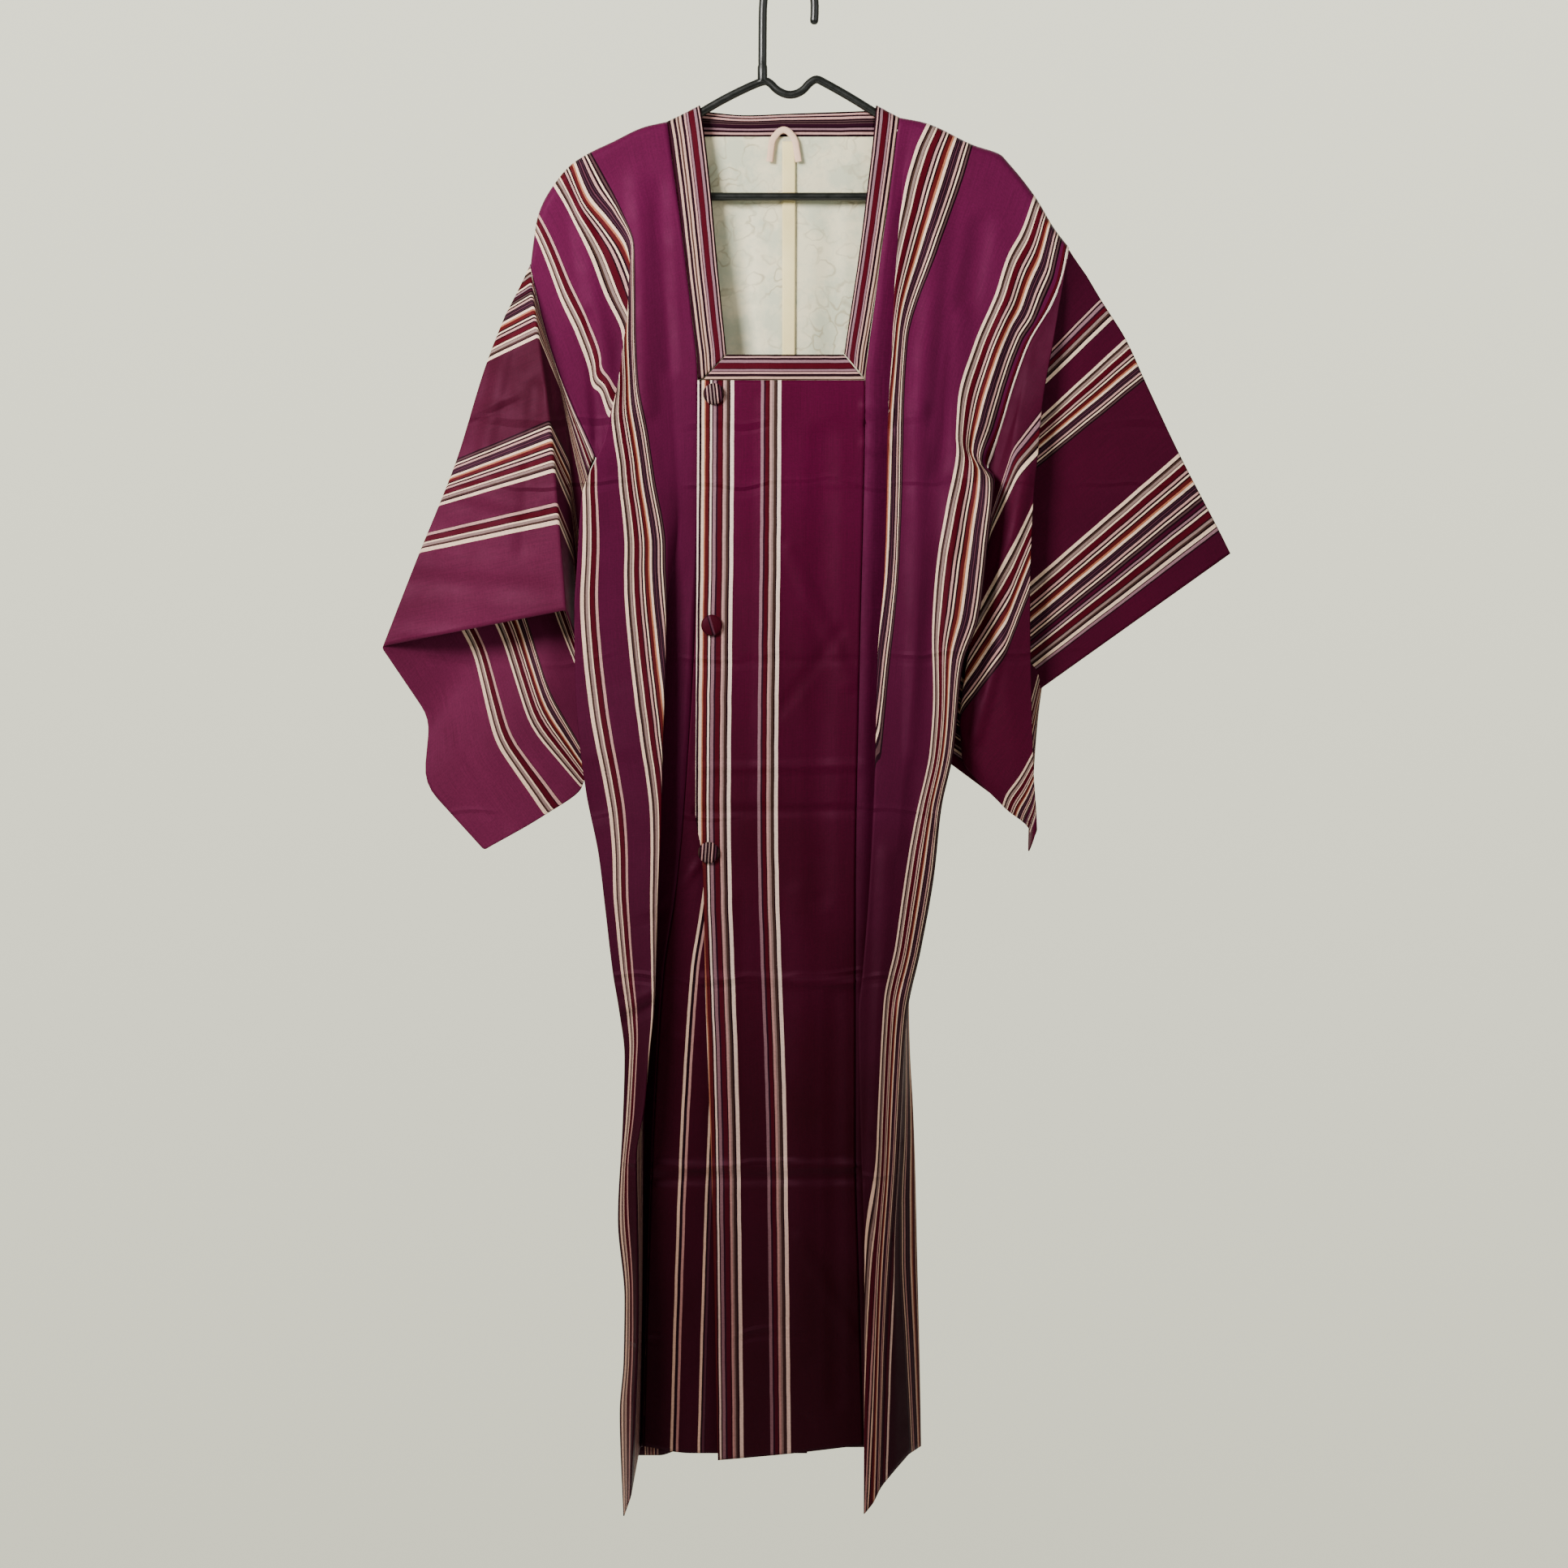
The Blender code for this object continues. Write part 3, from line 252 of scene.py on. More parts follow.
RIGHT_SEAM_FRONT = [
    (-290, 270, -8), (-320, 258, -10), (-354, 238, -12), (-397, 222, -14), (-437, 210, -15),
    (-475, 197, -14), (-500, 180, -13), (-530, 155, -10), (-570, 138, -7), (-620, 128, -6), (-700, 123, -5),
    (-800, 121, -5), (-880, 118, -8), (-950, 116, -18), (-1010, 113, -36), (-1058, 113, -44),
    (-1138, 111, -50), (-1208, 107, -53), (-1254, 107, -53), (-1346, 112, -50), (-1451, 118, -44),
]
RIGHT_SEAM_BACK_TOP = [(-290, 270, 7), (-320, 258, 8), (-354, 240, 9), (-397, 224, 10), (-437, 211, 4)]

# Fold lines of the right body's back, each: cloth width at the shoulder, then rows of z, x, y
RIGHT_BACK = {
    "middle seam": (-115, [
        (-200, 0.2, 12.5), (-400, 0.2, 16), (-800, 0.2, 17), (-1200, 0.2, 18), (-1443, 0.2, 20)]),
    "inner ridge": (-57, [
        (-200, 56, 13), (-300, 55, 16), (-600, 60, 20), (-1000, 62, 22), (-1443, 58, 25)]),
    "neck valley": (0, [
        (-160, 107, 9), (-200, 105, 12), (-400, 104, 15), (-700, 96, 15), (-1000, 84, 14), (-1445, 80, 12)]),
    "outer ridge": (106, [
        (-190, 202, 8), (-240, 190, 11), (-400, 160, 18), (-600, 145, 21), (-800, 128, 21), (-950, 106, 19),
        (-1100, 101, 14), (-1453, 104, 10)]),
    "rear turn": (203, [
        (-280, 258, 8), (-320, 246, 10), (-400, 213, 12), (-440, 199, 14), (-475, 188, 15), (-520, 183, 16),
        (-600, 176, 17), (-700, 160, 17), (-800, 148, 16), (-900, 134, 13), (-960, 124, 5), (-1010, 118, -12),
        (-1054, 119, -22), (-1109, 122, -27), (-1163, 124, -30), (-1250, 126, -31), (-1381, 129, -30),
        (-1443, 130, -28)]),
}

# Fold lines of the left body's front, each: cloth width at the shoulder, softness, then rows of z, x, y
LEFT_FRONT = {
    "neck and overlap seam": (0, 0, [
        (-160, -117, -7), (-250, -105, -12), (-330, -95.5, -16), (-370, -91, -17.5), (-392, -90, -18),
        (-450, -89.5, -17.5), (-600, -92, -17), (-818, -104, -17), (-898, -112, -17), (-978, -124, -18),
        (-1137, -134, -18), (-1300, -140, -19), (-1443, -144, -20)]),
    "tuck": (42, FOLD, [
        (-170, -155, -7), (-250, -134, -12), (-347, -119, -16), (-444, -113, -17), (-526, -109, -18.5),
        (-570, -113, -18), (-610, -128, -13), (-657, -142, -9), (-738, -148, -8), (-818, -148, -8),
        (-900, -146, -8), (-958, -144, -8), (-1060, -143, -8), (-1250, -144, -8), (-1444, -147, -8)]),
    "lap": (83, FOLD, [
        (-191, -182, -8), (-222, -166, -10), (-262, -152, -12), (-347, -151, -18), (-390, -149, -20),
        (-444, -139, -24), (-490, -132, -26), (-558, -121, -30), (-657, -121, -37), (-760, -124, -44),
        (-842, -126, -47), (-904, -129, -49), (-1003, -132, -52), (-1060, -138, -54), (-1106, -142, -55),
        (-1163, -151, -57), (-1234, -150, -60), (-1300, -149, -63), (-1493, -156, -75)]),
    "ridge": (96, FOLD, [
        (-205, -193, -9), (-230, -173, -11), (-262, -156, -13), (-290, -158, -18), (-329, -160, -22),
        (-356, -164, -25), (-399, -170, -30), (-430, -178, -32), (-454, -184, -34), (-483, -197, -37),
        (-506, -205, -38), (-578, -210, -38), (-619, -212.5, -37), (-674, -212, -35), (-722, -210, -34),
        (-797, -201, -34), (-861, -188, -35), (-910, -182, -36), (-978, -174, -37), (-1013, -168, -38),
        (-1060, -162, -39), (-1125, -164, -40), (-1220, -169, -42), (-1299, -162, -43), (-1361, -163, -44),
        (-1411, -167, -46), (-1513, -163, -48)]),
    "pocket": (104, FOLD, [
        (-212, -201, -8.5), (-240, -178, -10), (-265, -161, -10.5), (-290, -152, -9.5), (-320, -147, -9.5),
        (-350, -146, -11), (-400, -147, -14), (-454, -158, -19), (-483, -172, -22), (-520, -184, -24),
        (-600, -192, -20), (-700, -192, -18), (-800, -186, -18), (-900, -173, -18), (-1013, -160, -22),
        (-1100, -159, -26), (-1299, -159, -28), (-1495, -160, -34)]),
    "under stripe": (133, 10, [
        (-222, -219, -8), (-264, -199, -8), (-306, -184, -8), (-350, -165, -8), (-399, -172, -9.5),
        (-430, -180, -10.5), (-454, -184, -12), (-483, -180, -16), (-520, -178, -18), (-600, -186, -15),
        (-700, -186, -13), (-800, -181, -12), (-900, -170, -12), (-1013, -158, -14), (-1100, -157, -17),
        (-1299, -157.5, -18), (-1478, -157, -22)]),
    "narrow stripe": (173, 10, [
        (-264, -236, -8), (-306, -219, -8), (-340, -202, -8), (-382, -190, -9), (-420, -192, -10),
        (-454, -189, -11), (-483, -180, -13), (-520, -174, -14), (-600, -180, -11), (-700, -180.5, -9.5),
        (-800, -176.5, -8.5), (-900, -167, -8), (-1013, -156.5, -8), (-1100, -156, -9), (-1299, -156, -10),
        (-1464, -155, -11)]),
}
LEFT_SEAM_FRONT = [
    (-290, -252.5, -8), (-320, -246, -8), (-370, -232, -9), (-420, -212, -10), (-450, -198, -10),
    (-466, -191, -9), (-500, -178, -9), (-540, -171, -9), (-600, -175, -7), (-700, -176, -6),
    (-800, -173, -5), (-900, -165, -4), (-1013, -155.5, -3), (-1100, -155, -3), (-1299, -155, -2),
    (-1452, -153, -1),
]
LEFT_SEAM_BACK_TOP = [(-290, -252.5, 7), (-320, -246, 8), (-370, -233, 9), (-420, -214, 9), (-450, -199, 3)]

# Fold lines of the left body's back, each: cloth width at the shoulder, then rows of z, x, y
LEFT_BACK = {
    "middle seam": (-115, [
        (-200, -0.2, 12.5), (-400, -0.2, 16), (-800, -0.2, 17), (-1200, -0.2, 18), (-1443, -0.2, 20)]),
    "inner ridge": (-57, [
        (-200, -56, 13), (-300, -58, 17), (-600, -66, 21), (-1000, -72, 24), (-1444, -68, 26)]),
    "neck valley": (0, [
        (-165, -118, 9), (-200, -116, 12), (-400, -118, 15), (-700, -118, 14), (-1000, -104, 14),
        (-1445, -100, 13)]),
    "outer ridge": (100, [
        (-195, -204, 8), (-240, -194, 11), (-400, -172, 18), (-600, -166, 21), (-800, -160, 21),
        (-950, -140, 20), (-1100, -130, 20), (-1452, -128, 20)]),
    "rear turn": (185, [
        (-275, -241, 8), (-320, -230, 10), (-400, -206, 12), (-466, -190, 14), (-520, -185, 16),
        (-600, -186, 17), (-700, -186, 17), (-800, -180, 17), (-900, -169, 17), (-1013, -157, 16),
        (-1100, -154, 15), (-1299, -153, 15), (-1452, -150, 15)]),
}

# Overlap panels, rows of z, x, y; each panel's seam begins at a corner of its own
TOP_PANEL_CORNER = (-392.5, 75.2, -22)
UNDER_PANEL_CORNER = (-392.5, -89.3, -18)
TOP_PANEL_EDGE = [
    (-392.5, -90, -22.5), (-600, -91, -24), (-818, -92, -25.5), (-866, -85, -26), (-1005, -82, -27),
    (-1088, -79, -27.5), (-1180, -76, -28.5), (-1457, -70, -32),
]
TOP_PANEL_MIDDLE = [
    (-392.5, -10, -23.5), (-600, -10, -26), (-818, -12, -27), (-1005, -10, -28.5), (-1180, -6, -29),
    (-1451, -4, -33),
]
UNDER_PANEL_MIDDLE = [
    (-392.5, -50, -16), (-818, -60, -17), (-898, -66, -17.5), (-1137, -84, -18), (-1450, -92, -22),
]
UNDER_PANEL_EDGE = [
    (-392.5, 60, -14.5), (-818, 52, -15), (-1137, 26, -16), (-1450, 18, -18),
]

# Neck frame, rows of z, x, y from the shoulder down; the outer edges follow the body from their top points
BAND_RIGHT_TOP = (-134, 108.5, -6)
BAND_LEFT_TOP = (-138, -119.5, -6)
BAND_RIGHT_INNER = [
    (-122, 86, -6), (-140, 84.5, -7.5), (-210, 76.5, -12.5), (-266, 69.5, -16.5), (-367, 54.5, -21),
]
BAND_LEFT_INNER = [
    (-122, -87.5, -6), (-140, -84.5, -7.5), (-210, -76.5, -11.5), (-266, -71.5, -14), (-367, -61.5, -18),
]

# Folds round a sleeve: softness, steps round it, columns to the next, rows of place along the arm, x, y, z
SLEEVE_RIGHT = {
    "top fold": (5, SOFT_STEPS, MANY_COLUMNS, [
        (0, 279.5, 0, -262), (56, 309, 0, -312), (102, 333, 0, -350), (147, 352, 0, -391),
        (230, 386, 0, -463), (313, 426, 0, -540), (340, 437, 0, -562)]),
    "valley": (FOLD, FOLD_STEPS, FEW_COLUMNS, [
        (0, 278, -6, -273), (56, 240, -6, -382), (77, 232, -6, -415), (102, 214, -5, -460),
        (147, 178, -3, -533), (230, 152, 0, -666), (313, 148, 0, -751), (340, 152, 0, -765)]),
    "mountain": (FOLD, FOLD_STEPS, FEW_COLUMNS, [
        (0, 275, -9, -284), (56, 249, -24, -425), (77, 246, -25, -463), (102, 241, -25, -513),
        (147, 238, -26, -602), (230, 241, -26, -758), (313, 244, -24, -818), (340, 245, -20, -834)]),
    "inner upper": (8, SOFT_STEPS, FEW_COLUMNS, [
        (0, 242, -13, -354), (56, 221, -25, -461), (77, 226, -27, -485), (102, 222, -27, -552),
        (147, 213, -27, -666), (230, 228, -26, -782), (313, 243, -23, -827), (340, 242, -20, -843)]),
    "inner lower": (8, SOFT_STEPS, FEW_COLUMNS, [
        (0, 196, -12, -478), (56, 199, -18, -528), (77, 198, -18, -545), (102, 183, -18, -624),
        (147, 168, -19, -724), (230, 214, -24, -800), (313, 240, -18, -835), (340, 239, -15, -851)]),
    "bottom": (4, FOLD_STEPS, FEW_COLUMNS, [
        (0, 184, -1, -728), (56, 180, -3, -734), (102, 170, -9, -748), (147, 171, -13, -766),
        (230, 210, -16, -813), (313, 238, -10, -842), (340, 236, -6, -858)]),
    "back": (20, SOFT_STEPS, MANY_COLUMNS, [
        (0, 219, 13, -425), (56, 243, 12, -530), (102, 250, 11, -548), (147, 262, 10, -575),
        (230, 268, 10, -600), (313, 246, 10, -668), (340, 240, 10, -690)]),
}
SLEEVE_LEFT = {
    "crease": (FOLD, FOLD_STEPS, MANY_COLUMNS, [
        (0, -258.5, -6, -272), (79, -247, -30, -350), (161, -236, -40, -432), (214, -231, -43, -483),
        (264, -227, -45, -534), (348, -220, -48, -619)]),
    "outer turn": (5, FOLD_STEPS, FEW_COLUMNS, [
        (0, -260, 2, -279), (79, -299, -13, -375), (161, -329, -17, -471), (214, -347, -18, -517),
        (264, -366, -18, -563), (348, -402, -18, -655)]),
    "under flap": (16, SOFT_STEPS, FEW_COLUMNS, [
        (0, -236, 9, -375), (79, -254, -2, -535), (161, -262, 2, -615), (214, -283, 3, -646),
        (264, -311, 3, -660), (348, -354, 0, -726)]),
    "under bulge": (20, SOFT_STEPS, FEW_COLUMNS, [
        (0, -216, 7, -510), (79, -232, -1, -620), (161, -236, -3, -700), (214, -255, -4, -735),
        (264, -290, -5, -750), (348, -360, -6, -790)]),
    "bottom": (4, FOLD_STEPS, FEW_COLUMNS, [
        (0, -203, 4, -620), (79, -203, 3, -692), (161, -198, 2, -765), (214, -204, 0, -795),
        (264, -240, -2, -822), (348, -300, -4, -856)]),
    "rear wall": (10, SOFT_STEPS, FEW_COLUMNS, [
        (0, -199, 0, -540), (79, -198, 8, -600), (161, -197, 11, -670), (214, -199, 13, -700),
        (264, -212, 12, -740), (348, -240, 12, -790)]),
    "armpit": (10, SOFT_STEPS, MANY_COLUMNS, [
        (0, -195.5, -7, -473), (79, -201, -4, -515), (161, -203, 2, -575), (214, -204, 5, -615),
        (264, -206, 6, -660), (348, -208, 6, -725)]),
    "shaded face": (5, SOFT_STEPS, FEW_COLUMNS, [
        (0, -234.5, -9, -370), (79, -226, -14, -400), (161, -217, -16, -470), (214, -215, -16, -520),
        (264, -212.5, -16, -570), (348, -209, -16, -650)]),
}

# Neck frame over the shoulder: outer and inner point (x, y, z) of each row from the shoulder to the back
BAND_RIGHT_OVER = [
    ((108.2, 5.2, -138.5), (86, 5.2, -126.0)), ((107.8, 6.6, -144.5), (86, 7.2, -134.0)),
    ((102.3, 8.4, -150.9), (87.2, 9.4, -153.3)),
]
BAND_LEFT_OVER = [
    ((-118.8, 5.2, -142.5), (-88, 5.2, -126.0)), ((-118, 6.6, -147.0), (-88, 7.2, -134.0)),
    ((-107.5, 8.4, -152.4), (-88.4, 9.4, -153.2)),
]

# Neck frame's level bands, rows across them from left to right: lower edge, middle and upper edge
BAND_BOTTOM = [
    [(-84.1, -18.3, -391.9), (-73.1, -18.3, -379.8), (-61.3, -18.3, -367.4)],
    [(-45, -20.2, -391.9), (-42, -19.6, -380.0), (-38, -19.2, -367.4)],
    [(0, -21.8, -391.9), (-3, -21.0, -380.0), (-6, -20.4, -367.4)],
    [(40, -22.3, -391.9), (34, -21.6, -380.0), (28, -21.2, -367.4)],
    [(74.4, -22.2, -391.9), (64.4, -21.7, -379.8), (54.3, -21.3, -367.4)],
]
BAND_BACK = [
    [(-87.2, 9.2, -127.5), (-87.2, 9.2, -139.0), (-87.2, 9.4, -153.0)],
    [(-42, 9.8, -131.5), (-42, 9.8, -141.0), (-42, 9.9, -153.0)],
    [(0, 10.0, -130), (0, 10.0, -140), (0, 10.0, -153.0)],
    [(42, 9.8, -128.5), (42, 9.8, -140), (42, 9.9, -153.0)],
    [(85.2, 9.2, -127.0), (85.2, 9.2, -139.0), (85.2, 9.4, -153.0)],
]

# Lines down the back's lining and its tape, rows of z, x, y
LINING_LINES = [
    [(-154.5, -102, 5.6), (-185, -128, 6.4), (-240, -150, 7.6), (-300, -160, 10), (-560, -160, 14)],
    [(-152.5, -86, 6.6), (-200, -108, 8.4), (-400, -116, 11.2), (-560, -117, 10.8)],
    [(-152.5, -56, 7.0), (-200, -56, 9.0), (-300, -58, 13), (-560, -65, 16.5)],
    [(-152.5, 0, 7.0), (-200, 0, 8.8), (-400, 0, 12.2), (-560, 0, 12.7)],
    [(-152.5, 56, 7.0), (-200, 56, 9.0), (-300, 55, 12.2), (-560, 59, 15.5)],
    [(-152.5, 84, 6.6), (-200, 98, 8.4), (-400, 103, 11.2), (-560, 101, 11.2)],
    [(-154.5, 98, 5.6), (-185, 122, 6.4), (-240, 145, 7.6), (-300, 152, 10), (-560, 138, 14)],
]
TAPE_LINES = [
    [(-157, -6.5, 4.8), (-200, -6.5, 6.2), (-400, -6.5, 9.5), (-556, -6.5, 10.1)],
    [(-157, 0, 4.6), (-200, 0, 6.0), (-400, 0, 9.3), (-556, 0, 9.9)],
    [(-157, 6.5, 4.8), (-200, 6.5, 6.2), (-400, 6, 9.5), (-556, 6, 10.1)],
]

# Hanging loop and hanger, points of x and z along the middle of the tape and of each bar
LOOP_PATH = [(-18.8, -177), (-17.6, -166), (-16.2, -154), (-5, -143), (6.2, -154), (7.8, -166), (9.6, -177)]
ARM_PLACES_RIGHT = (115, 135, 155, 175, 192)
ARM_PLACES_LEFT = (192, 175, 155, 135, 122)
HANGER_NECK = [
    (-26, -97), (-19, -98.5), (-11, -107.5), (1, -112), (13, -108), (20, -99.5), (27, -95), (34, -98.5),
    (60, -113), (84, -128), (100, -138),
]
HANGER_LOWER_BAR = [
    (206, -184), (213, -192), (213, -204), (204, -211), (180, -211.5), (90, -211.5), (0, -211.5),
    (-90, -211.5), (-180, -211.5), (-204, -211), (-213, -205), (-213, -195), (-207, -187),
]
HANGER_LEFT_NECK = [(-105, -140.5), (-86, -128), (-60, -113)]
HOOK_STEM = [(STEM_X, -98.0), (STEM_X, -80.0), (-25.8, -50.0), (-25.6, -28.0)]
HOOK_END = [(25.4, -32.0), (25.0, -38.0)]
COLLAR_PATH = [(STEM_X, -96.5), (STEM_X, -90.0), (STEM_X, -84.0)]

# Cloth width along each fold line, rows of z and width: it carries the stripes down the folds
RIGHT_WIDTHS = {
    "neck and overlap seam": [(-150, 0), (-1442, 0)],
    "tuck": [(-210, 14), (-266, 17), (-366, 23), (-578, 27), (-762, 37), (-898, 45), (-1018, 56),
             (-1138, 70), (-1266, 80), (-1446, 87)],
    "lap": [(-210, 27), (-266, 33), (-314, 40), (-366, 47), (-435, 52), (-578, 55), (-666, 60), (-725, 67),
            (-762, 75), (-822, 82), (-898, 90), (-978, 105), (-1018, 112), (-1138, 140), (-1266, 160),
            (-1511, 175)],
    "first stripe": [(-200, 75), (-762, 77), (-813, 107), (-898, 113), (-1004, 127), (-1138, 146),
                     (-1266, 167), (-1505, 182)],
    "second stripe": [(-244, 158), (-1146, 159), (-1266, 175), (-1498, 188)],
    "second stripe edge": [(-285, 208), (-475, 208), (-489, 203), (-1080, 203), (-1163, 204), (-1250, 206),
                           (-1330, 208), (-1484, 208)],
    "turn": [(-290, 212), (-475, 212), (-489, 210), (-952, 210), (-1017, 208), (-1080, 208), (-1163, 209),
             (-1250, 214), (-1346, 222), (-1466, 228)],
    "side seam": [(-290, 217), (-475, 217), (-530, 245), (-1451, 245)],
}
RIGHT_BACK_WIDTHS = {
    "middle seam": [(-200, -115), (-1450, -115)],
    "inner ridge": [(-200, -57), (-1450, -50)],
    "neck valley": [(-160, 0), (-400, -4), (-700, -10), (-1000, -18), (-1452, -20)],
    "outer ridge": [(-190, 106), (-300, 100), (-500, 88), (-700, 80), (-900, 80), (-1100, 85), (-1453, 85)],
    "rear turn": [(-280, 203), (-440, 200), (-520, 172), (-600, 166), (-700, 166), (-800, 170), (-900, 178),
                  (-1010, 184), (-1163, 178), (-1250, 176), (-1443, 180)],
    "side seam": [(-290, 217), (-475, 217), (-900, 217), (-1100, 210), (-1451, 210)],
}
LEFT_WIDTHS = {
    "neck and overlap seam": [(-160, 0), (-1443, 0)],
    "tuck": [(-170, 42), (-558, 42), (-657, 46), (-738, 52), (-818, 59), (-958, 62), (-1137, 70), (-1266, 75),
             (-1444, 80)],
    "lap": [(-191, 83), (-558, 83), (-657, 92), (-738, 105), (-818, 118), (-958, 124), (-1018, 128),
            (-1137, 140), (-1266, 150), (-1493, 160)],
    "ridge": [(-205, 96), (-261, 96), (-290, 98), (-329, 104), (-356, 112), (-399, 128), (-430, 138),
              (-454, 150), (-483, 175), (-506, 186), (-538, 190), (-619, 192), (-722, 200), (-811, 208),
              (-861, 203), (-910, 198), (-1013, 199), (-1152, 192), (-1513, 188)],
    "pocket": [(-212, 104), (-304, 106), (-350, 124), (-400, 152), (-454, 178), (-483, 205), (-520, 205),
               (-600, 212), (-700, 216), (-800, 220), (-900, 215), (-1013, 213), (-1308, 208), (-1495, 206)],
    "under stripe": [(-222, 133), (-350, 133), (-399, 163), (-430, 186), (-454, 200), (-483, 212),
                     (-520, 212), (-600, 218), (-700, 222), (-800, 226), (-900, 222), (-1013, 224),
                     (-1299, 222), (-1478, 220)],
    "narrow stripe": [(-264, 173), (-382, 173), (-420, 200), (-454, 210), (-483, 215), (-520, 220),
                      (-600, 226), (-700, 230), (-800, 232), (-900, 232), (-1013, 234), (-1464, 234)],
    "side seam": [(-290, 217), (-450, 217), (-500, 245), (-1452, 245)],
}
LEFT_BACK_WIDTHS = {
    "middle seam": [(-200, -115), (-1450, -115)],
    "inner ridge": [(-200, -57), (-1452, -52)],
    "neck valley": [(-165, 0), (-400, -4), (-700, -8), (-1000, -15), (-1452, -18)],
    "outer ridge": [(-195, 100), (-400, 92), (-600, 84), (-800, 80), (-950, 80), (-1452, 85)],
    "rear turn": [(-275, 185), (-466, 185), (-520, 176), (-600, 168), (-800, 166), (-1013, 170),
                  (-1452, 174)],
    "side seam": [(-290, 217), (-450, 217), (-1452, 222)],
}

# Where the middle stripe of the top panel begins, rows of z and x
PANEL_STRIPE = [(-392, -27.5), (-498, -28), (-818, -31), (-1138, -22), (-1457, -18)]

# Thread colours, as seen in even light
THREADS = {
    "dark": (34, 6, 14), "cream": (238, 216, 198), "olive": (98, 80, 70), "grey-white": (166, 148, 144),
    "crimson": (106, 22, 42), "pinkish white": (206, 172, 168), "white": (244, 226, 216),
    "rust": (116, 48, 42), "rust-cream": (184, 136, 112), "wine": (76, 12, 36),
    "purple-grey": (88, 64, 78), "lavender": (166, 138, 146), "mauve": (116, 80, 94),
    "purple": (62, 24, 48), "grey": (112, 92, 92), "band cream": (208, 180, 168),
}

# Stripe charts: where each thread group ends, counted across the stripe, and its colour
WIDE = [
    (3.4, "cream"), (4.8, "dark"), (6.4, "olive"), (8.8, "grey-white"), (9.4, "dark"), (11.2, "cream"),
    (12.2, "wine"), (16.6, "crimson"), (17.8, "dark"), (20, "pinkish white"), (21.8, "dark"),
    (23.4, "cream"), (24.8, "dark"), (28.4, "rust"), (30.2, "rust-cream"), (32.6, "cream"), (33.8, "dark"),
    (34.8, "purple-grey"), (35.8, "dark"), (36.8, "mauve"), (37.8, "dark"), (38.8, "purple-grey"),
    (39.8, "dark"), (41.8, "pinkish white"), (43.6, "dark"), (45.3, "cream"), (46.8, "dark"),
    (48.4, "grey"), (50, "dark"),
]
NARROW = [
    (4.2, "cream"), (5, "dark"), (6.2, "olive"), (9, "grey-white"), (10.6, "cream"), (11.6, "wine"),
    (16.4, "crimson"), (17.4, "dark"), (20.4, "pinkish white"), (21, "dark"),
]
SLEEVE_NARROW = [
    (1, "dark"), (3, "pinkish white"), (4.6, "dark"), (7.8, "lavender"), (9.6, "purple"), (13.2, "crimson"),
    (13.8, "dark"), (16.6, "grey-white"), (18.6, "olive"), (20.6, "dark"), (24.2, "cream"), (25, "dark"),
]
EXTRA = [
    (1.5, "dark"), (3.5, "lavender"), (5, "dark"), (7, "cream"), (8.5, "wine"), (13.5, "crimson"),
    (14.6, "dark"), (17.2, "grey-white"), (19, "olive"), (20.8, "dark"), (24.4, "cream"), (25.6, "dark"),
    (28.5, "lavender"), (30, "dark"),
]
EDGE_GROUP = [
    (3.2, "white"), (5.6, "dark"), (8.4, "cream"), (9.6, "rust-cream"), (12.8, "rust"), (14, "dark"),
    (15.9, "white"), (17.2, "dark"), (20, "lavender"), (21.8, "purple"), (26, "crimson"), (26.8, "dark"),
    (28.8, "pinkish white"), (30.4, "grey-white"), (32.4, "olive"), (34, "dark"), (37.5, "white"),
]
MIDDLE_PAIR = [
    (2.9, "lavender"), (4.6, "purple"), (8, "crimson"), (8.8, "dark"), (11, "pinkish white"),
    (13, "grey-white"), (15.2, "olive"), (16.4, "dark"), (20, "white"),
]
UNDER_PAIR = [(2.6, "cream"), (5.6, "dark"), (8, "pinkish white")]
UNDER_LINES = [(2.4, "cream"), (4.2, "dark"), (6.4, "mauve"), (7, "dark")]
SEAM_LINES = [(2.5, "crimson"), (3.6, "dark"), (6, "white")]
BAND = [
    (1.6, "dark"), (3, "pinkish white"), (5, "dark"), (7.6, "lavender"), (8.4, "wine"), (13, "crimson"),
    (14, "wine"), (16, "lavender"), (16.8, "dark"), (18.6, "pinkish white"), (21.4, "dark"),
    (23.8, "band cream"), (25.6, "olive"), (27, "band cream"), (29.8, "dark"), (32.4, "band cream"),
    (34, "dark"),
]
BACK_BAND = [
    (2.4, "dark"), (4.4, "pinkish white"), (6.4, "dark"), (8.2, "lavender"), (9.6, "dark"), (12.2, "purple"),
    (13, "grey"), (14.4, "dark"), (15.2, "grey"), (17, "dark"), (19.2, "pinkish white"), (21, "dark"),
    (22.8, "pinkish white"), (24.5, "dark"),
]
BUTTON_LINES = [
    (1.6, "olive"), (3.6, "dark"), (4.8, "pinkish white"), (6.8, "dark"), (8.2, "grey-white"), (10.2, "dark"),
    (11.4, "grey-white"), (13.2, "dark"), (14.6, "pinkish white"), (16.6, "dark"), (17.8, "mauve"),
    (19.4, "dark"), (21, "olive"),
]
PLAIN_BUTTON_LINES = [(1.2, "dark"), (3, "mauve")]

# Buttons, top to bottom: x and z of the centre, the lines on the cloth, and how far they lean
BUTTONS = [
    (-74, -406, [(BUTTON_LINES, -10.5, 10.5)], 0.12),
    (-76, -634, [(PLAIN_BUTTON_LINES, -2.0, 1.0)], 0.3),
    (-79, -858, [(BUTTON_LINES, -10.5, 10.5)], -0.05),
]

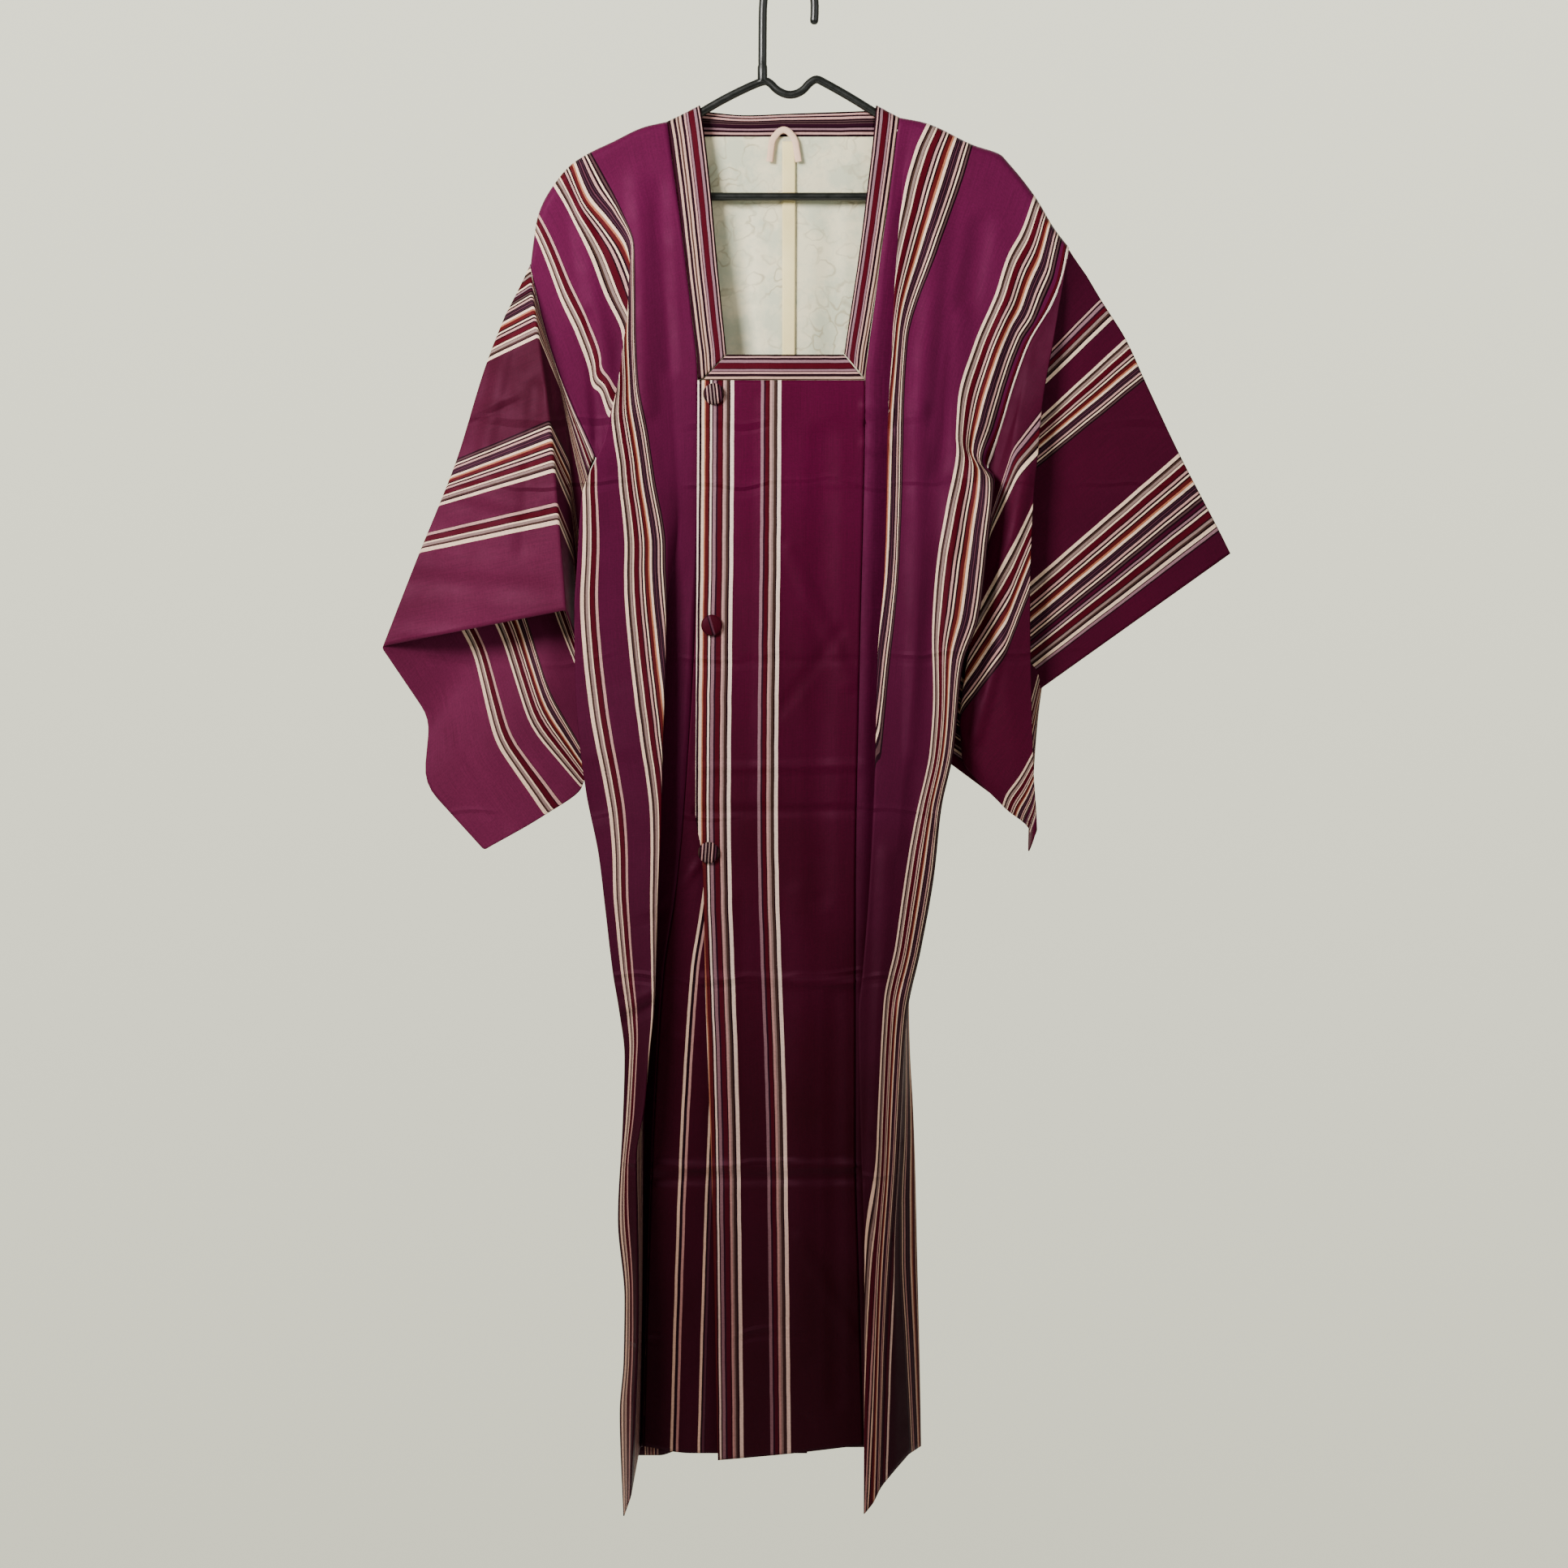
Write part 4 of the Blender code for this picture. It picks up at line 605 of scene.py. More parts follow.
# Ground colours: lit top and painted-shade hem of the body cloth and of the redder overlap panels, the
# sleeves, the bands
# Painted light and shade: each top colour is the lit tone, each hem colour the darker painted shade of the
# light falling off downwards
PLUM_TOP_LIT = (118, 42, 90)
PLUM_HEM_SHADED = (72, 1, 26)
OVERLAP_TOP_LIT = (112, 16, 78)
OVERLAP_HEM_SHADED = (78, 0, 24)
# Painted light and shade: the sleeves are lit and shaded copies of one cloth, the left lighter, the right
# darker, each tip painted lighter
SLEEVE_LEFT_LIT_TOP = (94, 40, 62)
SLEEVE_LEFT_LIT_TIP = (146, 70, 112)
SLEEVE_RIGHT_SHADED_TOP = (88, 20, 58)
SLEEVE_RIGHT_SHADED_TIP = (118, 30, 76)
# Painted shade: the multiplier that darkens ground and stripes alike towards the hem, where less light falls
HEM_PAINTED_SHADE = (186, 174, 172)
BAND_GROUND = (62, 10, 30)
BUTTON_GROUND = (92, 14, 42)

# Colours of the figured lining, the tape over its seam, the hanging loop and the hanger
LINING_LIGHT = (234, 228, 204)
LINING_CLOUD = (214, 216, 196)
LINING_OUTLINE = (186, 178, 152)
STRIP_CREAM = (246, 234, 190)
STRIP_SHADOW = (232, 218, 172)
LOOP_CREAM = (240, 214, 194)
LOOP_SHADOW = (216, 184, 162)
HANGER_BLACK = (22, 30, 27)
HANGER_SCUFFS = (52, 62, 57)

# Where stripes lie across each cloth: chart, where it begins and ends (widths run with the cloth's own)
BODY_RIGHT_STRIPES = [(WIDE, 27, 77), (WIDE, 158, 208), (SEAM_LINES, 211, 217), (NARROW, -78, -57)]
BODY_LEFT_STRIPES = [(WIDE, 133, 83), (NARROW, 184, 163), (NARROW, -57, -78)]
SLEEVE_RIGHT_STRIPES = [(SLEEVE_NARROW, 54, 79), (WIDE, 102, 147), (WIDE, 230, 280), (EXTRA, 283, 313)]
SLEEVE_LEFT_STRIPES = [(EXTRA, 29, 0), (WIDE, 79, 31), (WIDE, 214, 161), (NARROW, 264, 243)]
TOP_PANEL_STRIPES = [(EDGE_GROUP, -64, -26.5), (MIDDLE_PAIR, 0, 20)]
UNDER_PANEL_STRIPES = [(UNDER_PAIR, 27, 35), (UNDER_LINES, 54, 61)]
BAND_STRIPES = [(BAND, 0, 34)]
BACK_BAND_STRIPES = [(BACK_BAND, 0, 24.5)]

# Heights of the marks across the coat where it was folded away, and each mark's trough and ridge
FOLD_MARKS = (-438, -500, -668, -820, -984, -1170, -1330)
MARK_PROFILE = ((-7.0, 0.5), (-2.0, 1.0), (1.5, 0.0), (6.0, 0.5))
MARK_MARGIN = 30.0

# Soft ridges (up) and troughs (down) pressed into the cloth: x and z of both ends, half width, height
FRONT_RELIEF = [
    (-150, -190, -140, -420, 15, 1.6), (-128, -200, -118, -380, 12, -1.2), (-205, -230, -178, -400, 15, 1.5),
    (-196, -330, -188, -450, 10, -1.2), (150, -200, 130, -420, 16, 1.8), (190, -240, 152, -480, 18, -1.6),
    (172, -330, 160, -560, 14, 1.8), (128, -420, 124, -760, 14, 1.2), (218, -300, 190, -440, 12, 1.4),
    (146, -560, 118, -860, 13, -1.2), (96, -860, 84, -1180, 12, 1.0), (-166, -470, -176, -760, 12, 1.4),
    (-186, -560, -192, -820, 10, -1.0), (-150, -700, -150, -1000, 12, 1.0),
    (-165, -1050, -160, -1400, 8, 0.8),
    (74, -418, 102, -424, 5, 1.5), (76, -436, 102, -442, 5, -1.5), (74, -455, 98, -462, 5, 1.4),
    (-88, -498, 74, -494, 4, 0.5), (-88, -670, 70, -668, 4, -0.5), (-90, -775, 68, -772, 5, 1.0),
    (-92, -818, 66, -816, 5, -1.1), (-84, -982, 64, -986, 6, 1.3), (-138, -1168, 70, -1166, 5, 1.6),
    (-140, -1180, 70, -1179, 6, -1.3), (-166, -1028, -134, -1007, 6, -2.4), (-166, -1014, -136, -996, 6, 1.8),
    (180, -455, 168, -492, 6, -1.4), (194, -462, 180, -486, 5, 1.2), (140, -815, 156, -867, 6, -1.2),
    (118, -983, 106, -1018, 6, 1.2), (110, -1146, 84, -1140, 5, -0.9), (104, -1240, 84, -1236, 5, 0.9),
    (-90, -871, -129, -914, 6, 0.8), (-100, -880, -134, -925, 6, -0.7), (-120, -1040, -92, -1044, 6, 0.5),
    (-20, -420, -24, -800, 16, 0.7), (34, -450, 30, -900, 20, -0.8), (12, -900, 10, -1350, 20, 0.7),
    (44, -1000, 46, -1400, 14, -0.6), (-58, -900, -56, -1400, 12, 0.6), (0, -560, 60, -690, 12, 0.7),
    (-10, -720, 50, -640, 10, -0.5), (10, -1240, 60, -1330, 12, 0.6), (20, -1420, -50, -1380, 10, -0.5),
]
RIGHT_SLEEVE_RELIEF = [
    (300, -360, 250, -520, 14, 1.6), (330, -410, 262, -600, 14, -1.4), (360, -460, 286, -690, 18, 1.6),
    (392, -530, 312, -760, 16, -1.4), (400, -600, 340, -740, 14, 1.2), (236, -480, 200, -640, 12, 1.6),
    (222, -560, 186, -700, 9, -1.2), (210, -650, 184, -744, 9, 1.2), (290, -430, 330, -470, 8, -0.9),
    (330, -560, 372, -610, 9, 0.9), (248, -640, 250, -780, 8, 1.0), (420, -560, 356, -700, 8, 0.8),
]
LEFT_SLEEVE_RELIEF = [
    (-280, -360, -300, -460, 12, 1.2), (-318, -430, -267, -407, 5, 1.0), (-322, -438, -270, -414, 5, -0.8),
    (-250, -400, -262, -560, 12, -1.2), (-330, -500, -250, -520, 14, 1.0), (-370, -590, -240, -600, 16, -0.9),
    (-240, -300, -226, -420, 8, 1.2), (-300, -690, -240, -780, 14, 1.4), (-340, -720, -280, -830, 12, -1.2),
    (-240, -680, -212, -790, 8, 1.0), (-380, -640, -290, -650, 9, 0.9),
]
BACK_RELIEF = [
    (-150, -180, -140, -430, 16, 1.8), (-100, -170, -96, -520, 16, -1.4), (150, -190, 128, -460, 16, 1.8),
    (100, -170, 92, -560, 16, -1.4), (40, -180, 44, -700, 18, 1.2), (-44, -180, -52, -760, 18, 1.2),
    (-180, -260, -168, -480, 14, -1.4), (190, -250, 164, -470, 14, -1.4), (-130, -560, -124, -1000, 14, 1.2),
    (120, -560, 106, -980, 14, 1.2), (-90, -700, -88, -1200, 12, -1.0), (70, -720, 70, -1200, 12, -1.0),
    (-28, -900, -30, -1430, 16, 1.2), (30, -950, 32, -1430, 16, 1.2), (-130, -498, 120, -500, 5, 0.6),
    (-130, -818, 110, -822, 5, -0.6), (-120, -1170, 110, -1174, 5, 0.8), (-60, -620, 0, -700, 10, 0.7),
    (10, -600, 76, -680, 10, -0.6), (-100, -1290, -40, -1340, 9, 0.6), (20, -1260, 90, -1310, 9, 0.6),
    (280, -420, 250, -520, 12, 1.2), (320, -520, 270, -640, 14, -1.2), (-280, -430, -250, -560, 12, 1.2),
    (-320, -560, -250, -700, 14, -1.2),
]

# Smooth reading of a table: no overshoot between rows
def slopes(keys, values):
    steps = [(values[i + 1] - values[i]) / (keys[i + 1] - keys[i]) for i in range(len(keys) - 1)]
    result = [steps[0]]
    for before, after in zip(steps, steps[1:]):
        if before * after <= 0.0:
            result.append(0.0)
        else:
            result.append(2.0 * before * after / (before + after))
    result.append(steps[-1])
    return result


def reader(table):
    rows = sorted(table)
    keys = [row[0] for row in rows]
    tracks = []
    for index in range(1, len(rows[0])):
        values = [row[index] for row in rows]
        tracks.append((values, slopes(keys, values)))

    def read(key):
        key = min(max(key, keys[0]), keys[-1])
        place = 0
        while place < len(keys) - 2 and key > keys[place + 1]:
            place += 1
        span = keys[place + 1] - keys[place]
        t = (key - keys[place]) / span
        result = []
        for values, slope in tracks:
            result.append(
                (2 * t**3 - 3 * t**2 + 1) * values[place] + (t**3 - 2 * t**2 + t) * span * slope[place]
                + (3 * t**2 - 2 * t**3) * values[place + 1] + (t**3 - t**2) * span * slope[place + 1])
        return result

    return read


def rows_below(table, z):
    return [row for row in table if row[0] < z]


def rows_above(table, z):
    return [row for row in table if row[0] > z]


def mix(a, b, t):
    return tuple(p + (q - p) * t for p, q in zip(a, b))


def length(a, b):
    return math.sqrt(sum((p - q)**2 for p, q in zip(a[:3], b[:3])))


def metres(*values):
    return tuple(value / 1000.0 for value in values)


# The tables are read from the front view, so nearer cloth is drawn together a little
def seen(x, y, z):
    scale = (VIEW_DISTANCE + y) / VIEW_DISTANCE
    return (VIEW_X + (x - VIEW_X) * scale, y, VIEW_Z + (z - VIEW_Z) * scale)


# Height of the pressed-in ridges and troughs at one place
def relief(x, z, table):
    height = 0.0
    for x0, z0, x1, z1, width, rise in table:
        if not min(z0, z1) - width < z < max(z0, z1) + width:
            continue
        if not min(x0, x1) - width < x < max(x0, x1) + width:
            continue
        run_x = x1 - x0
        run_z = z1 - z0
        t = ((x - x0) * run_x + (z - z0) * run_z) / (run_x**2 + run_z**2)
        t = min(max(t, 0.0), 1.0)
        away = math.hypot(x - x0 - run_x * t, z - z0 - run_z * t) / width
        if away < 1.0:
            height += rise * (1.0 - away * away)**2
    return height


# A slow unevenness that no hung cloth is without: a long wave and a short one, each crossed by another
def unevenness(x, z):
    long_wave = math.sin(x / 21.0 + z / 95.0) * math.sin(z / 63.0 + 1.3)
    short_wave = math.sin(x / 9.0 - z / 140.0 + 0.7) * math.sin(z / 37.0 + x / 50.0)
    return LONG_WAVE * long_wave + SHORT_WAVE * short_wave


# The folds' relief moves all cloth at one place together, so no layer is pushed through another
def pressed(x, y, z, front_table):
    below = min(max((-z - RELIEF_TOP) / RELIEF_RUN, 0.0), 1.0)
    front = min(max(-y / RELIEF_DEPTH, 0.0), 1.0) * below
    back = min(max((y - BACK_FACE_Y) / RELIEF_DEPTH, 0.0), 1.0) * below
    if front > 0.0:
        return y - front * (RELIEF_STRENGTH * relief(x, z, front_table) + unevenness(x, z))
    if back > 0.0:
        waves = unevenness(x + BACK_WAVE_X, z + BACK_WAVE_Z)
        return y + back * (RELIEF_STRENGTH * relief(x, z, BACK_RELIEF) + waves)
    return y


# A section through named folds: each corner is rounded by its softness and read at a few steps
def section(corners, softness, steps, between, closed=False):
    last = len(corners) - 1
    sharp = () if closed else (0, last)
    starts = list(corners)
    ends = list(corners)
    for index, here in enumerate(corners):
        if index not in sharp:
            before = corners[index - 1]
            after = corners[(index + 1) % len(corners)]
            starts[index] = mix(here, before, corner_share(softness[index], here, before))
            ends[index] = mix(here, after, corner_share(softness[index], here, after))
    result = []
    for index, here in enumerate(corners):
        if index in sharp:
            result.append(here)
        else:
            for step in range(steps[index]):
                t = step / (steps[index] - 1)
                result.append(mix(mix(starts[index], here, t), mix(here, ends[index], t), t))
        if closed or index < last:
            following = starts[(index + 1) % len(corners)]
            for step in range(between[index]):
                result.append(mix(ends[index], following, (step + 1) / (between[index] + 1)))
    return result


# A rounding takes up to nearly half of the way to the next corner
def corner_share(softness, here, other):
    return min(softness / max(length(here, other), 1e-6), MOST_OF_CORNER)


# Rows down the body: close rows round the shoulder, then even ones
def row_depth(row, rows, drop):
    if row < len(CLOSE_ROWS):
        return CLOSE_ROWS[row]
    share = (row - len(CLOSE_ROWS) + 1) / (rows - len(CLOSE_ROWS))
    return CLOSE_ROWS[-1] + (drop - CLOSE_ROWS[-1]) * share


def over_bar(depth):
    rest = 1.0 - min(depth, SHOULDER_ROUND) / SHOULDER_ROUND
    return math.sqrt(1.0 - rest * rest)


# One fold line down the cloth: its place and the cloth width it carries
def fold_line(top, top_width, table, widths):
    read = reader([(top[2], top[0], table[0][2])] + table)
    read_width = reader([(top[2], top_width)] + rows_below(widths, top[2] - WIDTHS_BELOW_TOP))
    hem = table[-1][0]

    def at(row):
        z = top[2] - row_depth(row, BODY_ROWS, top[2] - hem)
        x, y = read(z)
        if top[1] == 0:
            y *= over_bar(top[2] - z)
        return (x, y, z, read_width(z)[0])

    return at


def select_only(thing):
    if bpy.context.object and bpy.context.object.mode != "OBJECT":
        bpy.ops.object.mode_set(mode="OBJECT")
    bpy.ops.object.select_all(action="DESELECT")
    bpy.context.view_layer.objects.active = thing
    thing.select_set(True)


def apply_modifiers(thing):
    select_only(thing)
    for modifier in list(thing.modifiers):
        bpy.ops.object.modifier_apply(modifier=modifier.name)


def face_outwards():
    bpy.ops.mesh.select_all(action="SELECT")
    bpy.ops.mesh.normals_make_consistent(inside=False)
    bpy.ops.object.mode_set(mode="OBJECT")


# Cloth from grids of points (x, y, z, width, depth): merged where they meet, given a wall and a finish
def cloth_piece(name, grids, wall, front_table, finish):
    vertices = []
    charted = []
    faces = []
    for grid in grids:
        offset = len(vertices)
        across = len(grid[0])
        for line in grid:
            for x, y, z, width, depth in line:
                vertices.append(metres(*seen(x, pressed(x, y, z, front_table), z)))
                charted.append(metres(width, depth))
        for row in range(len(grid) - 1):
            for place in range(across - 1):
                corner = offset + row * across + place
                faces.append((corner, corner + 1, corner + across + 1, corner + across))
    mesh = bpy.data.meshes.new(name)
    mesh.from_pydata(vertices, [], faces)
    chart = mesh.uv_layers.new(name="cloth")
    for loop in mesh.loops:
        chart.data[loop.index].uv = charted[loop.vertex_index]
    thing = bpy.data.objects.new(name, mesh)
    bpy.context.scene.collection.objects.link(thing)
    thing.data.materials.append(finish)
    select_only(thing)
    bpy.ops.object.mode_set(mode="EDIT")
    bpy.ops.mesh.select_all(action="SELECT")
    bpy.ops.mesh.remove_doubles(threshold=MERGE_REACH)
    face_outwards()
    cloth_wall = thing.modifiers.new("cloth wall", "SOLIDIFY")
    cloth_wall.thickness = wall / 1000.0
    cloth_wall.offset = 0.0
    cloth_wall.use_even_offset = False
    apply_modifiers(thing)
    bpy.ops.object.shade_smooth()
    return thing


# Between two fold lines the cloth keeps the shoulder's round, fading out on the way down
def eased(point, lift, row):
    fade = max(0.0, 1.0 - row_depth(row, BODY_ROWS, BODY_DROP) / ROUND_FADE)
    return (point[0] + lift[0] * fade, point[1], point[2] + lift[2] * fade, point[3])


# Evenly spaced places between two fold lines
def places_between(first, second):
    return max(1, int(round((second - first) / BODY_COLUMN)) - 1)


def away_from(point, other):
    return tuple(p - q for p, q in zip(point, other))


# The top edge of a body half: the shoulder line, and the neck line where the width is below nothing
def top_edge(shoulder_table, neck_table):
    shoulder = reader(shoulder_table)
    neck = reader(neck_table)

    def top_of(width):
        if width >= 0:
            x, z = shoulder(width)
            return (x, 0.0, z)
        return tuple(neck(width))

    return top_of


# A body half: front and back in one cloth over the shoulder, joined again below the armpit
def body_grids(front, back, shoulder_table, neck_table, seam_front, seam_back_top, widths, back_widths):
    top_of = top_edge(shoulder_table, neck_table)
    tip_width = shoulder_table[-1][0]
    tip = top_of(tip_width)
    tops = [fold[0] for fold in front.values()] + [tip_width]
    softness = [fold[1] for fold in front.values()] + [0]
    lines = [fold_line(top_of(fold[0]), fold[0], fold[2], widths[name]) for name, fold in front.items()]
    lines.append(fold_line(tip, tip_width, seam_front, widths["side seam"]))
    steps = [FOLD_STEPS if soft in (FOLD, SIDE_TURN) else SOFT_STEPS for soft in softness]
    between = [places_between(a, b) for a, b in zip(tops, tops[1:])]
    top_line = section([(*top_of(width), width) for width in tops], softness, steps, between)
    top_widths = [point[3] for point in top_line]
    bulge = [away_from(top_of(width), point) for width, point in zip(top_widths, top_line)]
    front_grid = [[(*top_of(width), width, 0.0) for width in top_widths]]
    for row in range(1, BODY_ROWS):
        line = section([at(row) for at in lines], softness, steps, between)
        line = [eased(point, lift, row) for point, lift in zip(line, bulge)]
        front_grid.append([(*point, top_of(width)[2] - point[2]) for point, width in zip(line, top_widths)])

    seam_back = seam_back_top + rows_below(seam_front, seam_back_top[-1][0])
    back_lines = [(fold[0], fold_line(top_of(fold[0]), fold[0], fold[1], back_widths[name]))
                  for name, fold in back.items()]
    back_lines.append((tip_width, fold_line(tip, tip_width, seam_back, back_widths["side seam"])))
    rear_widths = BACK_NECK_WIDTHS + top_widths
    across_top = reader([(width, *top_of(width)) for width, at in back_lines])
    back_grid = [[(*top_of(width), width, 0.0) for width in rear_widths]]
    for row in range(1, BODY_ROWS):
        across = reader([(width, *at(row)) for width, at in back_lines])
        line = []
        for width in rear_widths:
            if width < 0:
                line.append(below_neck(top_of(width), across(width), row))
            else:
                lift = away_from(top_of(width), across_top(width))
                point = eased(across(width), lift, row)
                line.append((*point, point[2] - top_of(width)[2]))
        if line[-1][2] < seam_back_top[-1][0] - SIDES_JOINED_BELOW:
            x, y, z, carried, depth = front_grid[row][-1]
            line[-1] = (x, y, z, line[-1][3], -depth)
        back_grid.append(line)
    return [front_grid, back_grid]


# Back cloth under the neck's cut leaves the neck line gradually
def below_neck(start, point, row):
    depth = row_depth(row, BODY_ROWS, start[2] - BACK_HEM_Z)
    blend = min(depth / NECK_BLEND, 1.0)
    x, y = mix(start[:2], point[:2], blend)
    return (x, y, start[2] - depth, point[3], -depth)


# A panel between named lines, rows of z, x, y; its stripes are counted from a line of its own
def panel_grid(lines, columns, rows, width_at):
    readers = [reader(table) for table in lines]
    grid = []
    for row in range(rows):
        share = row / (rows - 1)
        places = []
        for table, read in zip(lines, readers):
            z = table[0][0] + (table[-1][0] - table[0][0]) * share
            places.append((*read(z), z))
        across = reader([(index, *place) for index, place in enumerate(places)])
        line = []
        for column in range(columns):
            x, y, z = across((len(lines) - 1) * column / (columns - 1))
            line.append((x, y, z, width_at(x, z), lines[0][0][0] - z))
        grid.append(line)
    return grid


# A sleeve: its inner edge follows the body's armhole down to the armpit and hangs free below
def sleeve_grid(folds, cuff, shoulder_table, seam_front, seam_back_top, outward, settle):
    softness, steps, between, tables = zip(*folds.values())
    lines = [reader(table) for table in tables]
    tip_width, tip_x, tip_z = shoulder_table[-1]
    armpit = seam_back_top[-1][0] - ARMPIT_DROP
    front = reader([(tip_z, tip_x, seam_front[0][2])] + seam_front)
    back = reader([(tip_z, tip_x, seam_back_top[0][2])] + seam_back_top
                  + rows_below(seam_front, seam_back_top[-1][0]))

    def shift_to_armhole(x, y, z):
        if z <= armpit:
            return (0.0, 0.0, 0.0)
        low_z = min(z, tip_z)
        edge_x, edge_y = (back if y > 0 else front)(low_z)
        return (edge_x + outward * ARMHOLE_GAP - x, edge_y * over_bar(tip_z - low_z) - y, low_z - z)

    rings = int(round(cuff / SLEEVE_STEP))
    grid = []
    for ring in range(rings + 1):
        along = cuff * ring / rings
        line = section([tuple(read(along)) for read in lines], softness, steps, between, closed=True)
        line.append(line[0])
        if ring == 0:
            shifts = [shift_to_armhole(*point) for point in line]
        fade = max(0.0, 1.0 - along / settle)
        girth = 0.0
        placed = []
        for index, (point, shift) in enumerate(zip(line, shifts)):
            here = tuple(p + q * fade for p, q in zip(point, shift))
            if index:
                girth += length(placed[-1], here)
            placed.append((*here, along, girth))
        grid.append(placed)
    return grid


# The body's front seam as a neighbouring piece follows it, moved sideways by the gap between them
def beside_seam(front, gap):
    return [(z, x + gap, y) for z, x, y in front["neck and overlap seam"][2]]


# How much deeper the shader's colours are than they look, and a colour mix's sockets: factor, first, second
DEPTH_OF_COLOUR = 1.5
MIX_SOCKETS = (0, 6, 7)

# Ramps: fully clear, the clear edge beside a stripe group (mm), and the level ground beside a fold mark
CLEAR = (0.0, 0.0, 0.0, 0.0)
CLEAR_EDGE = 1.0
LEVEL = (0.5, 0.5, 0.5, 1.0)

# Grain of the silk: fineness and detail, then the reach of its noise and the reach wanted
WEAVING_WANDER = ((8.0, 30.0, 1.0), 2.0, (0.0, 1.0), (-0.0005, 0.0005))
WARP = ((1400.0, 24.0, 1.0), 2.0, (0.25, 0.75), (0.80, 1.12))
SLUB = ((40.0, 900.0, 1.0), 2.0, (0.25, 0.75), (0.93, 1.06))
CREPE = ((420.0, 520.0, 1.0), 3.0, (0.3, 0.7), (0.86, 1.12))
GROUND_CLOUD = (5.0, 3.0, (0.3, 0.7), (-0.18, 0.18))
SILK_GLOSS = (38.0, 3.0, (0.3, 0.7), (0.52, 0.66))
MARK_DEPTH = ((9.0, 9.0, 3.0), 2.0, (0.42, 0.6), (0.0, 7.0))
MARK_SWAY = ((8.0, 8.0, 2.0), 2.0, (0.3, 0.7), (-0.009, 0.009))

# Silk: heights between which the ground turns to the hem's painted shade, its rib and rumples, bump and sheen
GROUND_REACH = (-0.25, -1.3)
RIB = ((900.0, 1700.0, 1.0), 1.0)
RIB_HEIGHT = 0.12
RUMPLE = (60.0, 4.0)
RUMPLE_HEIGHT = 0.9
SILK_BUMP = (0.35, 0.0012)
SILK_SHEEN = {
    "Specular IOR Level": 0.13, "Specular Tint": (1.0, 0.34, 0.62, 1.0), "Sheen Weight": 0.03,
    "Sheen Roughness": 0.4, "Sheen Tint": (0.9, 0.35, 0.6, 1.0),
}

# Lining: swirl of its scallops, their size and rims, what is figured, clouds, weave, bump and sheen
SWIRL_ACROSS = (26.0, 3.0, (0.3, 0.7), (-0.007, 0.007))
SWIRL_DOWN = (31.0, 3.0, (0.3, 0.7), (-0.007, 0.007))
SCALLOP_SCALE = 58.0
INNER_RIM = (0.42, 0.50)
OUTER_RIM = (0.50, 0.58)
FIGURED_PARTS = (14.0, 3.0, (0.42, 0.58), (0.0, 0.8))
CLOUD_PATCHES = (32.0, 5.0, 0.65)
CLOUD_REACH = (0.42, 0.6)
LINING_WEAVE = ((1500.0, 1500.0, 1500.0), 1.0)
LINING_WEAVE_HEIGHT = 0.2
LINING_BUMP = (0.25, 0.0008)
LINING_GLOSS = (0.55, 0.7)
LINING_SHEEN = {"Sheen Weight": 0.15, "Sheen Roughness": 0.5}

# Cotton tape and the hanger's plastic
TAPE_SOILING = (24.0, 4.0, (0.35, 0.7), (0.0, 0.7))
TAPE_TWILL = {"Scale": 320.0, "Distortion": 1.2}
TAPE_BUMP = (0.3, 0.0004)
TAPE_GLOSS = (0.62, 0.78)
PLASTIC_SCUFFS = ((40.0, 260.0, 260.0), 5.0, (0.5, 0.75), (0.0, 0.5))
PLASTIC_GLOSS = (140.0, 3.0, (0.3, 0.7), (0.28, 0.44))
PLASTIC_PITTING = (420.0, 3.0)
PLASTIC_BUMP = (0.15, 0.0003)


# Colours are written as seen, 0 to 255; the shader gets them deeper, since even light lifts dark cloth
def shade(colour):
    linear = [(c / 255.0 / 12.92) if c < 10.3 else ((c / 255.0 + 0.055) / 1.055)**2.4 for c in colour]
    return tuple(c**DEPTH_OF_COLOUR for c in linear)


def blank_material(name):
    made = bpy.data.materials.new(name)
    made.use_nodes = True
    return made, made.node_tree, made.node_tree.nodes["Principled BSDF"]


# Where a point lies on the object, in metres
def object_place(tree):
    return tree.nodes.new("ShaderNodeTexCoord").outputs["Object"]


def set_inputs(node, settings):
    for name, value in settings.items():
        node.inputs[name].default_value = value


def take_value(tree, socket, value):
    if isinstance(value, (int, float)):
        socket.default_value = value
    elif isinstance(value, tuple):
        socket.default_value = (*shade(value), 1.0)
    else:
        tree.links.new(value, socket)


def math_node(tree, operation, first, second):
    node = tree.nodes.new("ShaderNodeMath")
    node.operation = operation
    take_value(tree, node.inputs[0], first)
    take_value(tree, node.inputs[1], second)
    return node.outputs[0]


def fitted(tree, value, reach, wanted):
    node = tree.nodes.new("ShaderNodeMapRange")
    set_inputs(node, {"From Min": reach[0], "From Max": reach[1], "To Min": wanted[0], "To Max": wanted[1]})
    tree.links.new(value, node.inputs["Value"])
    return node.outputs[0]


# Noise, as fine as its scale says: one number, or one for each axis
def noise(tree, vector, scale, detail, roughness=0.55):
    node = tree.nodes.new("ShaderNodeTexNoise")
    if isinstance(scale, tuple):
        stretched = tree.nodes.new("ShaderNodeMapping")
        stretched.inputs["Scale"].default_value = scale
        tree.links.new(vector, stretched.inputs["Vector"])
        vector = stretched.outputs[0]
        scale = 1.0
    set_inputs(node, {"Scale": scale, "Detail": detail, "Roughness": roughness})
    tree.links.new(vector, node.inputs["Vector"])
    return node.outputs[0]


# Noise brought from its own reach to the wanted one
def grain(tree, vector, scale, detail, reach, wanted):
    return fitted(tree, noise(tree, vector, scale, detail), reach, wanted)


